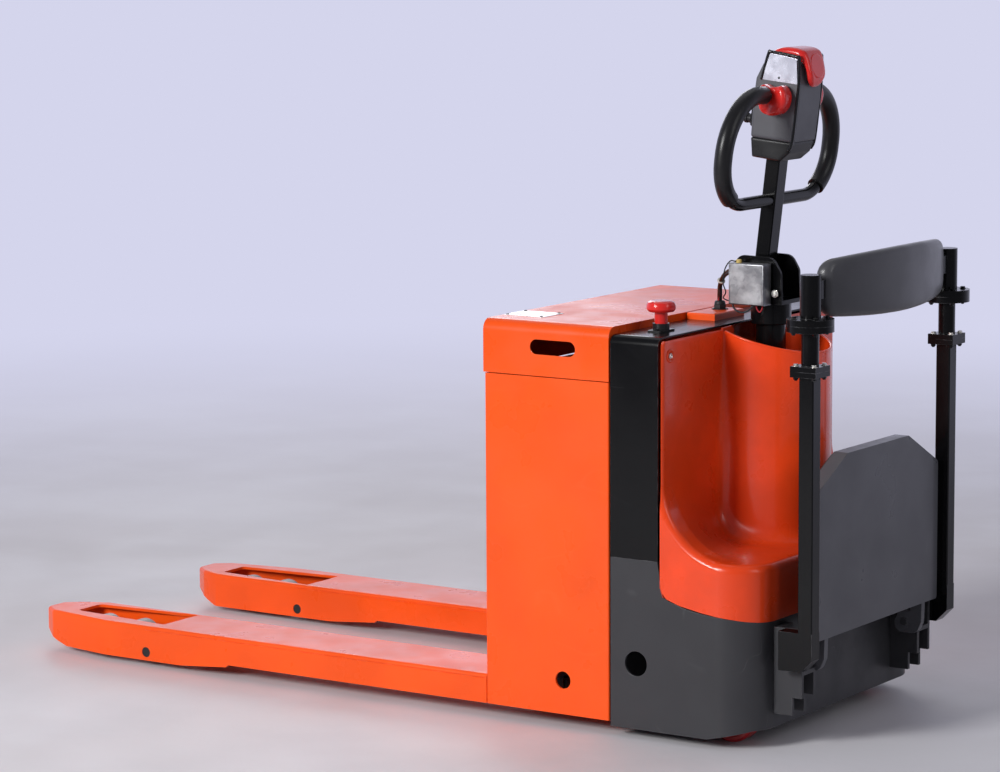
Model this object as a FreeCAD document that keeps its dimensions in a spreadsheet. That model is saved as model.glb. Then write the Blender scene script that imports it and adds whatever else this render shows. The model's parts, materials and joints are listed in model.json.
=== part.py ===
"""Rider electric pallet truck, built as separate named sub-parts in one parametric document.

Frame: millimetres, +Z up, +X from the fork tips to the operator's end, origin on the floor in the
middle of the overall length and width. "Left" is the operator's left, the -Y side.
"""
import FreeCAD, Part
import math
import os
import Sketcher
from FreeCAD import Placement, Rotation, Vector

DIMENSIONS = {
    # overall
    "overall_length": 1889.0, "fork_length": 1159.0, "half_width": 338.5,
    # battery box and lid
    "box_length": 279.5, "box_bottom": 27.5, "box_top": 674.8, "box_wall": 5.0,
    "box_floor": 118.0, "floor_sheet": 6.0, "access_radius": 17.0, "access_place": 176.0,
    "access_height": 94.0, "lid_top": 779.4, "lid_sheet": 3.0, "lid_gap": 1.6,
    "lid_overlap": 3.0, "lid_bend": 22.0, "slot_start": 104.0, "slot_end": 205.0,
    "slot_middle": 732.0, "slot_radius": 14.2,
    # battery
    "case_margin": 7.0, "case_sheet": 4.0, "case_top": 560.0, "case_half": 320.0,
    "cell_gap": 3.0, "cell_top": 545.0, "post_rise": 12.0, "post_radius": 9.0,
    # forks
    "fork_width": 156.0, "fork_top": 85.0, "fork_sheet": 6.0, "fork_side": 8.0,
    "fork_skirt": 12.5, "taper_start": 960.0, "tip_outer": 284.0, "tip_inner": 233.0,
    "inner_chamfer": 88.0, "cheek_place": 36.0, "cheek_outer": 311.0, "cheek_inner_side": 204.0,
    "tip_round": 16.0, "fork_edge": 7.0, "hollow_start": 100.0, "hollow_end": 40.0,
    "seam_start": 850.0, "seam_height": 76.5, "seam_depth": 1.6, "seam_width": 1.2,
    "fork_centre": 250.0, "window_front": 1074.0, "window_back": 825.0,
    # load wheels and linkage
    "lever_pivot_place": 848.0, "lever_pivot_height": 30.0, "pivot_pin_radius": 10.5,
    "bogie_place": 980.5, "roller_spread": 48.5, "roller_radius": 37.0, "roller_half": 23.0,
    "roller_axle": 8.0, "crank": 30.0, "link_pin": 5.0, "rod_radius": 8.0,
    "torsion_place": 120.0, "torsion_radius": 12.0, "pin_play": 0.05,
    # chassis
    "gap_to_box": 3.5, "arch_end": 387.0, "arch_bottom": 345.0, "arch_top": 766.0,
    "arch_sheet": 4.0, "arch_round": 17.0, "base_end": 592.0, "base_bottom": 18.6,
    "base_wall": 6.0, "corner_round": 85.0, "deck_height": 246.0, "deck_sheet": 10.0,
    "base_hole_place": 339.0, "base_hole_height": 145.0, "base_hole_radius": 24.0,
    # hood
    "hood_start": 391.0, "hood_sheet": 4.0, "wing_top": 757.0, "bulge_radius": 117.0,
    "rim_lead": 2.5, "rim_drop": 55.0, "shelf_top": 349.0, "column_gap": 68.0,
    # steering and drive
    "steer_place": 437.0, "column_radius": 28.5, "collar_radius": 39.0, "collar_bottom": 762.0,
    "bracket_bottom": 803.0, "drive_radius": 115.0, "drive_half": 37.5, "motor_radius": 72.0,
    "motor_top": 440.0, "turntable_radius": 95.0, "cheek_inner": 33.0, "cheek_sheet": 6.0,
    # tiller
    "tiller_place": 422.0, "tiller_height": 860.0, "tiller_lean": 7.0, "tiller_pin": 8.0,
    "arm_depth": 30.0, "arm_width": 36.0, "loop_half": 208.0, "loop_low": 141.0,
    "loop_high": 346.0, "loop_upper_round": 108.0, "loop_lower_round": 88.0,
    "loop_tube": 12.5, "loop_wall": 2.5, "grip_radius": 17.0, "grip_start": 80.0,
    "grip_end": 58.0,
    "head_half": 45.0, "head_low": 222.0, "cap_half": 38.0,
    "throttle_reach": 79.0, "throttle_play": 0.9,
    # lift
    "lift_place": 315.0, "cylinder_radius": 24.5, "rod_of_piston": 17.5, "bracket_height": 585.0,
    # cable gland
    "gland_bore": 7.4,
    # emergency stop
    "stop_place": 335.0, "stop_side": 240.0, "stop_stem": 12.5, "stop_head": 28.0,
    # posts and backrest
    "post_place": 673.6, "post_side": 276.4, "post_half": 15.0, "post_sheet": 3.0,
    "post_top": 708.0, "flange_half": 27.0, "flange_sheet": 10.0, "stub_radius": 16.5,
    "round_flange": 44.0, "round_sheet": 12.0, "stub_top": 791.0, "top_radius": 19.5,
    "posts_height": 895.0, "bolt_radius": 3.0, "bolt_play": 0.3, "pad_radius": 710.0,
    "pad_thick": 33.0, "pad_half": 235.0, "pad_middle": 865.0, "pad_height": 105.0,
    "pad_crown": 10.0,
    # platform
    "hinge_place": 630.0, "hinge_height": 165.0, "tray_outer": 672.0, "tray_depth": 30.0,
    "tray_half": 250.0, "tray_low": 206.0, "tray_high": 546.0, "tray_flat": 124.0,
    "tray_corner": 480.0, "tray_sheet": 3.0, "mat_thick": 6.0, "hinge_pin": 8.0,
    # casters
    "caster_place": 474.0, "caster_side": 248.0, "caster_trail": 28.0, "caster_radius": 50.0,
    "caster_half": 19.0, "caster_axle": 6.0,
}

doc = FreeCAD.newDocument("pallet_truck")
sheet = doc.addObject("Spreadsheet::Sheet", "Dimensions")


class Size:
    """A length with its value and the sheet expression that it comes from."""

    def __init__(self, value, text=None):
        self.value = float(value)
        self.text = text or repr(float(value))

    def join(self, other, sign, value):
        return Size(value, "(" + self.text + " " + sign + " " + other.text + ")")

    def __add__(self, other):
        other = as_size(other)
        return self.join(other, "+", self.value + other.value)

    def __sub__(self, other):
        other = as_size(other)
        return self.join(other, "-", self.value - other.value)

    def __mul__(self, other):
        other = as_size(other)
        return self.join(other, "*", self.value * other.value)

    def __truediv__(self, other):
        other = as_size(other)
        return self.join(other, "/", self.value / other.value)

    def __radd__(self, other):
        return as_size(other) + self

    def __rsub__(self, other):
        return as_size(other) - self

    def __rmul__(self, other):
        return as_size(other) * self

    def __neg__(self):
        return self * -1


def as_size(amount):
    return amount if isinstance(amount, Size) else Size(amount)


class Dimensions:
    """The sheet's cells as attributes, each a Size."""

    def __init__(self, cells):
        for row, (name, value) in enumerate(cells.items(), start=1):
            sheet.set("A" + str(row), name)
            sheet.set("B" + str(row), str(value))
            sheet.setAlias("B" + str(row), name)
            setattr(self, name, Size(value, "Dimensions." + name))


d = Dimensions(DIMENSIONS)
doc.recompute()

SIDES = {"left": -1, "right": 1}
TURN = {"X": Rotation(Vector(0, 1, 0), 90), "Y": Rotation(Vector(1, 0, 0), -90), "Z": Rotation()}
ROLE = {"XY": "XY_Plane", "XZ": "XZ_Plane", "YZ": "YZ_Plane"}

box_face = d.fork_length - d.overall_length / 2
lean_cos = math.cos(math.radians(d.tiller_lean.value))
lean_sin = math.sin(math.radians(d.tiller_lean.value))
parts = {}


# ---------------------------------------------------------------- building helpers

def bind(thing, name, amount):
    """Ties one property to the sheet, or sets it where the amount is a bare number."""
    amount = as_size(amount)
    thing.setExpression(name, amount.text)


def at(x):
    """Place along the truck, measured from the battery box's fork side."""
    return box_face + x


def place(thing, x, y, z, rotation=Rotation(), leaning=False):
    """Puts a thing at x, y, z. A leaning thing is measured along the tiller from its pivot."""
    x, y, z = as_size(x), as_size(y), as_size(z)
    if leaning:
        rotation = Rotation(Vector(0, 1, 0), d.tiller_lean.value).multiply(rotation)
        x, z = (at(d.tiller_place) + x * lean_cos + z * lean_sin,
                d.tiller_height - x * lean_sin + z * lean_cos)
    thing.Placement = Placement(Vector(x.value, y.value, z.value), rotation)
    bind(thing, "Placement.Base.x", x)
    bind(thing, "Placement.Base.y", y)
    bind(thing, "Placement.Base.z", z)


def span(first, second):
    """Two limits in rising order."""
    first, second = as_size(first), as_size(second)
    return (first, second) if first.value < second.value else (second, first)


def block(name, x, y, z, leaning=False):
    """A box between two limits on each axis."""
    (x0, x1), (y0, y1), (z0, z1) = span(*x), span(*y), span(*z)
    thing = doc.addObject("Part::Box", name)
    bind(thing, "Length", x1 - x0)
    bind(thing, "Width", y1 - y0)
    bind(thing, "Height", z1 - z0)
    place(thing, x0, y0, z0, leaning=leaning)
    return thing


def rod(name, axis, centre, limits, radius, leaning=False):
    """A cylinder along an axis; centre holds the other two coordinates in X, Y, Z order."""
    low, high = span(*limits)
    thing = doc.addObject("Part::Cylinder", name)
    bind(thing, "Radius", radius)
    bind(thing, "Height", high - low)
    where = list(centre)
    where.insert("XYZ".index(axis), low)
    place(thing, *where, rotation=TURN[axis], leaning=leaning)
    return thing


def taper(name, centre, limits, radii):
    """An upright cone frustum."""
    low, high = span(*limits)
    thing = doc.addObject("Part::Cone", name)
    bind(thing, "Radius1", radii[0])
    bind(thing, "Radius2", radii[1])
    bind(thing, "Height", high - low)
    place(thing, centre[0], centre[1], low)
    return thing


def cut(name, base, *tools):
    """The base without its tools."""
    thing = doc.addObject("Part::Cut", name)
    thing.Base = base
    thing.Tool = tools[0] if len(tools) == 1 else join(name + "_tools", *tools)
    return thing


def join(name, *pieces):
    thing = doc.addObject("Part::MultiFuse", name)
    thing.Shapes = list(pieces)
    thing.Refine = True
    return thing


def common(name, *pieces):
    thing = doc.addObject("Part::MultiCommon", name)
    thing.Shapes = list(pieces)
    return thing


def group(name, *pieces):
    """Separate solids in one node."""
    thing = doc.addObject("Part::Compound", name)
    thing.Links = list(pieces)
    return thing


def outline_sketch(body, plane, points):
    """A closed outline on one of the body's own planes, each corner tied to the sheet."""
    sketch = body.newObject("Sketcher::SketchObject", body.Name + "_outline")
    origin_plane = [f for f in body.Origin.OriginFeatures if f.Role == ROLE[plane]][0]
    sketch.AttachmentSupport = [(origin_plane, "")]
    sketch.MapMode = "FlatFace"
    corners = [(as_size(u), as_size(v)) for u, v in points]
    spots = [Vector(u.value, v.value, 0) for u, v in corners]
    count = len(spots)
    sketch.addGeometry([Part.LineSegment(spots[i], spots[(i + 1) % count]) for i in range(count)])
    sketch.addConstraint([Sketcher.Constraint("Coincident", i, 2, (i + 1) % count, 1)
                          for i in range(count)])
    for i, (u, v) in enumerate(corners):
        for kind, amount in (("DistanceX", u), ("DistanceY", v)):
            index = sketch.addConstraint(Sketcher.Constraint(kind, -1, 1, i, 1, amount.value))
            sketch.setExpression("Constraints[" + str(index) + "]", amount.text)
    return sketch


def plate(name, plane, points, limits, rounds=None, leaning=False):
    """A padded outline between two limits across its plane.

    rounds maps a corner's number to its fillet radius.
    """
    low, high = span(*limits)
    body = doc.addObject("PartDesign::Body", name)
    sketch = outline_sketch(body, plane, points)
    pad = body.newObject("PartDesign::Pad", name + "_pad")
    pad.Profile = sketch
    bind(pad, "Length", high - low)
    doc.recompute()
    by_radius = {}
    for corner, radius in (rounds or {}).items():
        by_radius.setdefault(as_size(radius).text, (radius, []))[1].append(corner)
    feature = pad
    for number, (radius, corners) in enumerate(by_radius.values()):
        fillet = body.newObject("PartDesign::Fillet", name + "_round" + str(number))
        fillet.Base = (feature, cross_edges(feature.Shape, plane, points, corners))
        bind(fillet, "Radius", radius)
        doc.recompute()
        feature = fillet
    sketch.Visibility = False
    if plane == "XY":
        place(body, 0, 0, low, leaning=leaning)
    elif plane == "XZ":
        place(body, 0, high, 0, leaning=leaning)
    else:
        place(body, low, 0, 0, leaning=leaning)
    return body


def cross_edges(shape, plane, points, corners):
    """Names of the edges that cross the plane at the outline's given corners."""
    axes = {"XY": (0, 1), "XZ": (0, 2), "YZ": (1, 2)}[plane]
    names = []
    for number, edge in enumerate(shape.Edges, start=1):
        ends = [vertex.Point for vertex in edge.Vertexes]
        if len(ends) != 2:
            continue
        flat = [(point[axes[0]], point[axes[1]]) for point in ends]
        if math.dist(*flat) > 0.01:
            continue
        for corner in corners:
            target = [as_size(amount).value for amount in points[corner]]
            if math.dist(flat[0], target) < 0.05:
                names.append("Edge" + str(number))
    return names


def soften(name, base, radius, wanted):
    """Fillets the base's edges that the test wants."""
    doc.recompute()
    thing = doc.addObject("Part::Fillet", name)
    thing.Base = base
    size = as_size(radius).value
    thing.Edges = [(number, size, size) for number, edge in enumerate(base.Shape.Edges, start=1)
                   if wanted(edge)]
    return thing


def runs_along(edge, axis):
    """True for a straight edge parallel to an axis."""
    if not isinstance(edge.Curve, (Part.Line, Part.LineSegment)):
        return False
    direction = edge.tangentAt(edge.FirstParameter)
    return abs(direction["XYZ".index(axis)]) > 0.999


def turned(name, axis, centre, profile, leaning=False):
    """A solid of revolution about an axis; profile lists radius and place along the axis."""
    body = doc.addObject("PartDesign::Body", name)
    sketch = outline_sketch(body, "XZ", profile)
    feature = body.newObject("PartDesign::Revolution", name + "_turn")
    feature.Profile = sketch
    feature.ReferenceAxis = (sketch, ["V_Axis"])
    feature.Angle = 360
    sketch.Visibility = False
    where = list(centre)
    where.insert("XYZ".index(axis), 0)
    place(body, *where, rotation=TURN[axis], leaning=leaning)
    return body


def rounded_path(points, radii):
    """A wire of straight runs joined by tangent arcs."""
    edges = []
    start = points[0]
    for here, ahead, radius in zip(points[1:-1], points[2:], radii):
        back = (start - here).normalize()
        forth = (ahead - here).normalize()
        half = back.getAngle(forth) / 2
        reach = radius / math.tan(half)
        middle = (back + forth).normalize()
        centre = here + middle * (radius / math.sin(half))
        first, last = here + back * reach, here + forth * reach
        edges.append(Part.LineSegment(start, first).toShape())
        edges.append(Part.Arc(first, centre - middle * radius, last).toShape())
        start = last
    edges.append(Part.LineSegment(start, points[-1]).toShape())
    return Part.Wire(edges)


def swept(wire, radius):
    """A round bar along a wire."""
    start = wire.Edges[0]
    direction = start.tangentAt(start.FirstParameter)
    ring = Part.Wire(Part.Circle(wire.Vertexes[0].Point, direction, radius).toShape())
    bar = wire.makePipeShell([ring], True, False, 2)
    length = sum(edge.Length for edge in wire.Edges)
    if abs(bar.Volume - math.pi * radius ** 2 * length) > 0.02 * bar.Volume:
        raise SystemExit("a swept bar has the wrong volume")
    return bar


def shaped(name, shape, leaning=False):
    """A feature whose shape comes from Part's own functions."""
    thing = doc.addObject("Part::Feature", name)
    thing.Shape = shape
    if leaning:
        place(thing, 0, 0, 0, leaning=True)
    return thing


def keep(node, thing):
    """Names a finished sub-part."""
    thing.Label = node
    parts[node] = thing
    return thing


# ---------------------------------------------------------------- fork carriage

def battery_box():
    width = d.half_width
    shell = block("box_blank", (at(0), at(d.box_length)), (-width, width), (d.box_bottom, d.box_top))
    shell = soften("box_corners", shell, 4, lambda edge: runs_along(edge, "Z"))
    inner_x = (at(d.box_wall), at(d.box_length - d.box_wall))
    inner_y = (d.box_wall - width, width - d.box_wall)
    well = block("box_well", inner_x, inner_y, (d.box_floor + d.floor_sheet, d.box_top + 1))
    under = block("box_under", inner_x, inner_y, (d.box_bottom - 1, d.box_floor))
    holes = rod("box_access", "Y", (at(d.access_place), d.access_height), (-width - 1, width + 1),
                d.access_radius)
    doors = [block("box_door_" + side, (at(-1), at(d.box_wall + 1)),
                   (sign * fork_inner(), sign * fork_outer()),
                   (d.box_bottom - 1, d.fork_top - d.fork_sheet))
             for side, sign in SIDES.items()]
    shell = cut("box_shell", shell, well, under, holes, *doors)
    keep("battery_box", join("battery_box", shell, *lift_bracket()))


def fork_inner():
    """Distance from the middle plane to a fork's inner side wall, inside."""
    return d.half_width - d.fork_width + d.fork_side


def fork_outer():
    """Distance from the middle plane to a fork's outer side wall, inside."""
    return d.half_width - d.fork_side


def fork(side, sign):
    name = "fork_" + side
    inner = d.half_width - d.fork_width
    tip = -d.fork_length
    cheek = at(tip + d.cheek_place)
    plan = [(at(0), sign * inner), (at(tip + d.inner_chamfer), sign * inner),
            (cheek, sign * d.cheek_inner_side), (at(tip), sign * d.tip_inner),
            (at(tip), sign * d.tip_outer), (cheek, sign * d.cheek_outer),
            (at(-d.taper_start), sign * d.half_width), (at(0), sign * d.half_width)]
    blank = plate(name + "_plan", "XY", plan, (0, d.fork_top),
                  {2: d.tip_round, 3: d.tip_round, 4: d.tip_round, 5: d.tip_round})
    skirt = d.fork_skirt
    profile = [(at(0), d.box_bottom), (at(-634), d.box_bottom), (at(-640), d.box_bottom - 5),
               (at(-759), skirt), (at(-1080), skirt), (at(-1106), skirt + 7.5),
               (at(tip - 1), skirt + 28.5), (at(tip - 1), d.fork_top), (at(0), d.fork_top)]
    sides = plate(name + "_profile", "XZ", profile, (sign * (inner - 1), sign * (d.half_width + 1)))
    body = common(name + "_blank", blank, sides)
    body = soften(name + "_edges", body, d.fork_edge,
                  lambda edge: edge.BoundBox.ZMin > d.fork_top.value - 0.1
                  and edge.BoundBox.XMin < at(-1).value)
    wall = d.fork_side
    hollow_plan = [(at(1), sign * fork_inner()), (at(tip + d.hollow_start), sign * fork_inner()),
                   (at(tip + d.hollow_end), sign * (d.cheek_inner_side + wall + 4)),
                   (at(tip + d.hollow_end), sign * (d.cheek_outer - wall - 4)),
                   (at(-d.taper_start), sign * fork_outer()), (at(1), sign * fork_outer())]
    hollow = plate(name + "_hollow", "XY", hollow_plan, (0, d.fork_top - d.fork_sheet))
    window_plan = [(at(-d.window_front), sign * 285), (at(-d.window_front), sign * 212),
                   (at(-d.window_back), sign * 190.6), (at(-d.window_back), sign * 306)]
    window = plate(name + "_window", "XY", window_plan, (d.fork_top - 20, d.fork_top + 1),
                   {0: 10, 1: 10, 2: 4, 3: 4})
    seam_limits = (d.seam_height, d.seam_height + d.seam_width)
    outer_seam = block(name + "_outer_seam", (at(-d.seam_start), at(-0.5)),
                       (sign * (d.half_width - d.seam_depth), sign * (d.half_width + 1)), seam_limits)
    inner_seam = block(name + "_inner_seam", (at(-d.seam_start), at(-0.5)),
                       (sign * (inner - 1), sign * (inner + d.seam_depth)), seam_limits)
    pin_hole = rod(name + "_pin_hole", "Y", (at(-d.lever_pivot_place), d.lever_pivot_height),
                   (sign * (inner - 1), sign * (d.half_width + 1)), d.pivot_pin_radius + d.pin_play)
    keep(name, cut(name, body, hollow, window, outer_seam, inner_seam, pin_hole))


def pivot_pins():
    inner = d.half_width - d.fork_width
    pins = [rod("pivot_pin_" + side, "Y", (at(-d.lever_pivot_place), d.lever_pivot_height),
                (sign * (inner + 1), sign * (d.half_width - 0.5)), d.pivot_pin_radius)
            for side, sign in SIDES.items()]
    keep("lever_pivot_pins", group("lever_pivot_pins", *pins))


def battery():
    low = d.box_floor + d.floor_sheet
    x = (at(d.box_wall + d.case_margin), at(d.box_length - d.box_wall - d.case_margin))
    case = block("case_blank", x, (-d.case_half, d.case_half), (low, d.case_top))
    inside = block("case_inside", (x[0] + d.case_sheet, x[1] - d.case_sheet),
                   (d.case_sheet - d.case_half, d.case_half - d.case_sheet),
                   (low + d.case_sheet, d.case_top + 1))
    keep("battery_case", cut("battery_case", case, inside))
    rows, columns = 2, 6
    pitch_x = (x[1] - x[0] - 2 * d.case_sheet) / rows
    pitch_y = 2 * (d.case_half - d.case_sheet) / columns
    cells = []
    for row in range(rows):
        for column in range(columns):
            tag = str(row) + str(column)
            x0 = x[0] + d.case_sheet + row * pitch_x + d.cell_gap / 2
            y0 = column * pitch_y - (d.case_half - d.case_sheet) + d.cell_gap / 2
            jar = block("cell_" + tag, (x0, x0 + pitch_x - d.cell_gap), (y0, y0 + pitch_y - d.cell_gap),
                        (low + d.case_sheet, d.cell_top))
            posts = [rod("cell_post_" + tag + end, "Z",
                         (x0 + pitch_x / 2 + offset, y0 + pitch_y / 2),
                         (d.cell_top - 1, d.cell_top + d.post_rise), d.post_radius)
                     for end, offset in (("a", -35), ("b", 35))]
            cells.append(join("cell_whole_" + tag, jar, *posts))
    keep("battery_cells", group("battery_cells", *cells))


def lift_bracket():
    """Welded bracket on the box's rear wall, pushed up by the piston rod."""
    arm = block("lift_arm", (at(d.box_length), at(d.lift_place + 40)), (-32, 32),
                (d.bracket_height, d.bracket_height + 16))
    heel = block("lift_heel", (at(d.box_length), at(d.box_length + 8)), (-60, 60),
                 (d.bracket_height - 90, d.bracket_height + 55))
    gussets = [plate("lift_gusset_" + side, "XZ",
                     [(at(d.box_length + 7), d.bracket_height + 15),
                      (at(d.lift_place + 20), d.bracket_height + 15),
                      (at(d.box_length + 7), d.bracket_height + 55)],
                     (sign * 22, sign * 30)) for side, sign in SIDES.items()]
    return [arm, heel, *gussets]


def piston_rod():
    foot = d.deck_height + d.deck_sheet + 14
    keep("piston_rod", rod("piston_rod", "Z", (at(d.lift_place), 0), (foot, d.bracket_height),
                           d.rod_of_piston))


# ---------------------------------------------------------------- battery lid

def battery_lid():
    low = d.box_top + d.lid_gap
    outer_x = (at(-d.lid_overlap), at(d.box_length))
    wide = d.half_width
    blank = block("lid_blank", outer_x, (-wide, wide), (low, d.lid_top))
    blank = soften("lid_bends", blank, d.lid_bend, lambda edge: runs_along(edge, "X")
                   and edge.BoundBox.ZMin > d.lid_top.value - 1)
    inner = block("lid_inner", (outer_x[0] + d.lid_sheet, outer_x[1] - d.lid_sheet),
                  (d.lid_sheet - wide, wide - d.lid_sheet), (low - 1, d.lid_top - d.lid_sheet))
    inner = soften("lid_inner_bends", inner, d.lid_bend - d.lid_sheet,
                   lambda edge: runs_along(edge, "X")
                   and edge.BoundBox.ZMin > (d.lid_top - d.lid_sheet).value - 1)
    radius = d.slot_radius
    across = (-wide - 1, wide + 1)
    slot = [block("slot_middle", (at(d.slot_start + radius), at(d.slot_end - radius)), across,
                  (d.slot_middle - radius, d.slot_middle + radius)),
            rod("slot_front", "Y", (at(d.slot_start + radius), d.slot_middle), across, radius),
            rod("slot_back", "Y", (at(d.slot_end - radius), d.slot_middle), across, radius)]
    keep("battery_lid", cut("battery_lid", blank, inner, *slot))


# ---------------------------------------------------------------- load wheels and linkage

def load_wheels(side, sign):
    pivot, height = at(-d.lever_pivot_place), d.lever_pivot_height
    bogie = at(-d.bogie_place)
    axle_height = d.roller_radius
    middle = sign * d.fork_centre

    def across(low, high):
        """Limits on both sides of the fork's middle line."""
        return [(middle - high, middle - low), (middle + low, middle + high)]

    cheeks = []
    outline = [(pivot + 16, height - 14), (pivot + 16, height + 6), (pivot + 9, height + 40),
               (pivot - 9, height + 40), (pivot - 26, height + 16), (bogie - 13, axle_height + 13),
               (bogie - 13, axle_height - 13), (pivot - 20, height - 16)]
    rounds = {0: 10, 1: 8, 2: 7, 3: 7, 5: 10, 6: 10, 7: 8}
    for number, limits in enumerate(across(30.5, 36.5)):
        cheeks.append(plate("lever_cheek_" + side + str(number), "XZ", outline, limits, rounds))
    pins = [rod("lever_link_pin_" + side, "Y", (pivot, height + d.crank),
                (middle - 34, middle + 34), d.link_pin),
            rod("lever_bogie_pin_" + side, "Y", (bogie, axle_height), (middle - 36.5, middle + 36.5), 8)]
    hub = rod("lever_hub_" + side, "Y", (pivot, height), (middle - 36.5, middle + 36.5), 14)
    bore = rod("lever_bore_" + side, "Y", (pivot, height), (middle - 40, middle + 40),
               d.pivot_pin_radius + d.pin_play)
    keep("lever_" + side, cut("lever_" + side, join("lever_blank_" + side, *cheeks, *pins, hub), bore))

    reach = d.roller_spread + 14
    plates = [plate("bogie_plate_" + side + str(number), "XZ",
                    [(bogie - reach, axle_height - 13), (bogie + reach, axle_height - 13),
                     (bogie + reach, axle_height + 13), (bogie - reach, axle_height + 13)],
                    limits, {0: 12, 1: 12, 2: 12, 3: 12})
              for number, limits in enumerate(across(24, 30))]
    axles = [rod("bogie_axle_" + side + end, "Y", (bogie + offset, axle_height),
                 (middle - 29, middle + 29), d.roller_axle - d.pin_play)
             for end, offset in (("front", -d.roller_spread), ("rear", d.roller_spread))]
    bore = rod("bogie_bore_" + side, "Y", (bogie, axle_height), (middle - 40, middle + 40), 8.05)
    spacer = rod("bogie_spacer_" + side, "Y", (bogie, axle_height), (middle - 29, middle + 29), 10.5)
    keep("bogie_" + side, cut("bogie_" + side, join("bogie_blank_" + side, *plates, *axles, spacer),
                              bore))
    for end, offset in (("front", -d.roller_spread), ("rear", d.roller_spread)):
        name = "load_roller_" + side + "_" + end
        radius, half, bevel = d.roller_radius, d.roller_half, 3
        profile = [(d.roller_axle, -half), (radius - bevel, -half), (radius, bevel - half),
                   (radius, half - bevel), (radius - bevel, half), (d.roller_axle, half)]
        keep(name, turned_about_y(name, bogie + offset, middle, axle_height, profile))


def turned_about_y(name, x, y, z, profile):
    """A wheel with its axis along Y and its middle at x, y, z."""
    body = turned(name, "Z", (0, 0), profile)
    place(body, x, y, z, rotation=TURN["Y"])
    return body


def push_rod(side, sign):
    middle = sign * d.fork_centre
    height = d.lever_pivot_height + d.crank
    front, back = at(-d.lever_pivot_place), at(d.torsion_place)
    bar = rod("rod_bar_" + side, "X", (middle, height), (front + 13, back - 13), d.rod_radius)
    front_end = block("rod_front_" + side, (front - 14, front + 14), (middle - 8, middle + 8),
                      (height - 15, height + 13))
    back_end = block("rod_back_" + side, (back - 14, back + 14), (middle - 8, middle + 8),
                     (height - 13, height + 16))
    front_slot = block("rod_front_slot_" + side, (front - 7.6, front + 7.6), (middle - 9, middle + 9),
                       (height - 19, height + 6))
    back_slot = block("rod_back_slot_" + side, (back - 7.6, back + 7.6), (middle - 9, middle + 9),
                      (height - 6, height + 17))
    keep("push_rod_" + side, cut("push_rod_" + side, join("rod_blank_" + side, bar, front_end, back_end),
                                 front_slot, back_slot))


def torsion_shaft():
    height = d.lever_pivot_height + 2 * d.crank
    x = at(d.torsion_place)
    pieces = [rod("torsion_bar", "Y", (x, height), (-326, 326), d.torsion_radius)]
    for side, sign in SIDES.items():
        middle = sign * d.fork_centre
        for tag, low, high in (("a", -16, -10), ("b", 10, 16)):
            pieces.append(block("torsion_arm_" + side + tag, (x - 9, x + 9),
                                (middle + low, middle + high), (height - d.crank - 9, height)))
        pieces.append(rod("torsion_pin_" + side, "Y", (x, height - d.crank),
                          (middle - 15, middle + 15), d.link_pin))
    keep("torsion_shaft", join("torsion_shaft", *pieces))


# ---------------------------------------------------------------- chassis

def chassis_start():
    return at(d.box_length + d.gap_to_box)


def skirt_line():
    """The curve where the hood meets the base, from the front to the rear."""
    return [(at(386), d.arch_bottom), (at(391), 311), (at(397), 287), (at(409), 273),
            (at(440), 263), (at(478), 256), (at(575), 246), (at(d.base_end + 1), 241)]


def base_plan(inset, start, end):
    """Half-rounded plan of the base: square at the front, rounded at the rear."""
    wide = d.half_width - inset
    return [(start, -wide), (end, -wide), (end, wide), (start, wide)]


def base_frame():
    start, end = chassis_start(), at(d.base_end)
    blank = plate("base_blank", "XY", base_plan(0, start, end), (d.base_bottom, d.arch_bottom),
                  {1: d.corner_round, 2: d.corner_round})
    across = (-d.half_width - 1, d.half_width + 1)
    above = plate("base_above", "XZ", skirt_line() + [(at(d.base_end + 1), d.arch_bottom + 1),
                                                      (at(386), d.arch_bottom + 1)], across)
    below = plate("base_below", "XZ", [(at(492), d.base_bottom - 1), (at(492), d.base_bottom),
                                       (at(575), 38), (at(d.base_end + 1), 38),
                                       (at(d.base_end + 1), d.base_bottom - 1)], across)
    wall = d.base_wall
    inside = plate("base_inside", "XY", base_plan(wall, start + wall, end - wall),
                   (d.base_bottom - 1, d.arch_bottom + 1),
                   {1: d.corner_round - wall, 2: d.corner_round - wall})
    holes = rod("base_holes", "Y", (at(d.base_hole_place), d.base_hole_height), across,
                d.base_hole_radius)
    ring = cut("base_ring", blank, above, below, inside, holes)
    deck_end = at(560)
    deck = plate("base_deck", "XY", base_plan(wall - 1, start + wall - 1, deck_end),
                 (d.deck_height, d.deck_height + d.deck_sheet), {1: 70, 2: 70})
    trim = [block("deck_trim_" + side, (at(470), at(600)),
                  (sign * (d.half_width - wall - 4), sign * (d.half_width + 1)),
                  (d.deck_height - 1, d.deck_height + d.deck_sheet + 1))
            for side, sign in SIDES.items()]
    bore = rod("deck_bore", "Z", (at(d.steer_place), 0), (d.deck_height - 1, d.deck_height + 20),
               d.turntable_radius + 0.4)
    keep("base_frame", join("base_frame", ring, cut("deck_bored", deck, bore, *trim)))


def upper_arch():
    wide = d.half_width
    x = (chassis_start(), at(d.arch_end))
    blank = block("arch_blank", x, (-wide, wide), (d.arch_bottom, d.arch_top))
    blank = soften("arch_rounds", blank, d.arch_round, lambda edge: runs_along(edge, "X")
                   and edge.BoundBox.ZMin > d.arch_top.value - 1)
    inner = block("arch_inner", (x[0] - 1, x[1] + 1), (d.arch_sheet - wide, wide - d.arch_sheet),
                  (d.arch_bottom - 1, d.arch_top - d.arch_sheet))
    inner = soften("arch_inner_rounds", inner, d.arch_round - d.arch_sheet,
                   lambda edge: runs_along(edge, "X")
                   and edge.BoundBox.ZMin > (d.arch_top - d.arch_sheet).value - 1)
    keep("upper_arch", cut("upper_arch", blank, inner))


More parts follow.
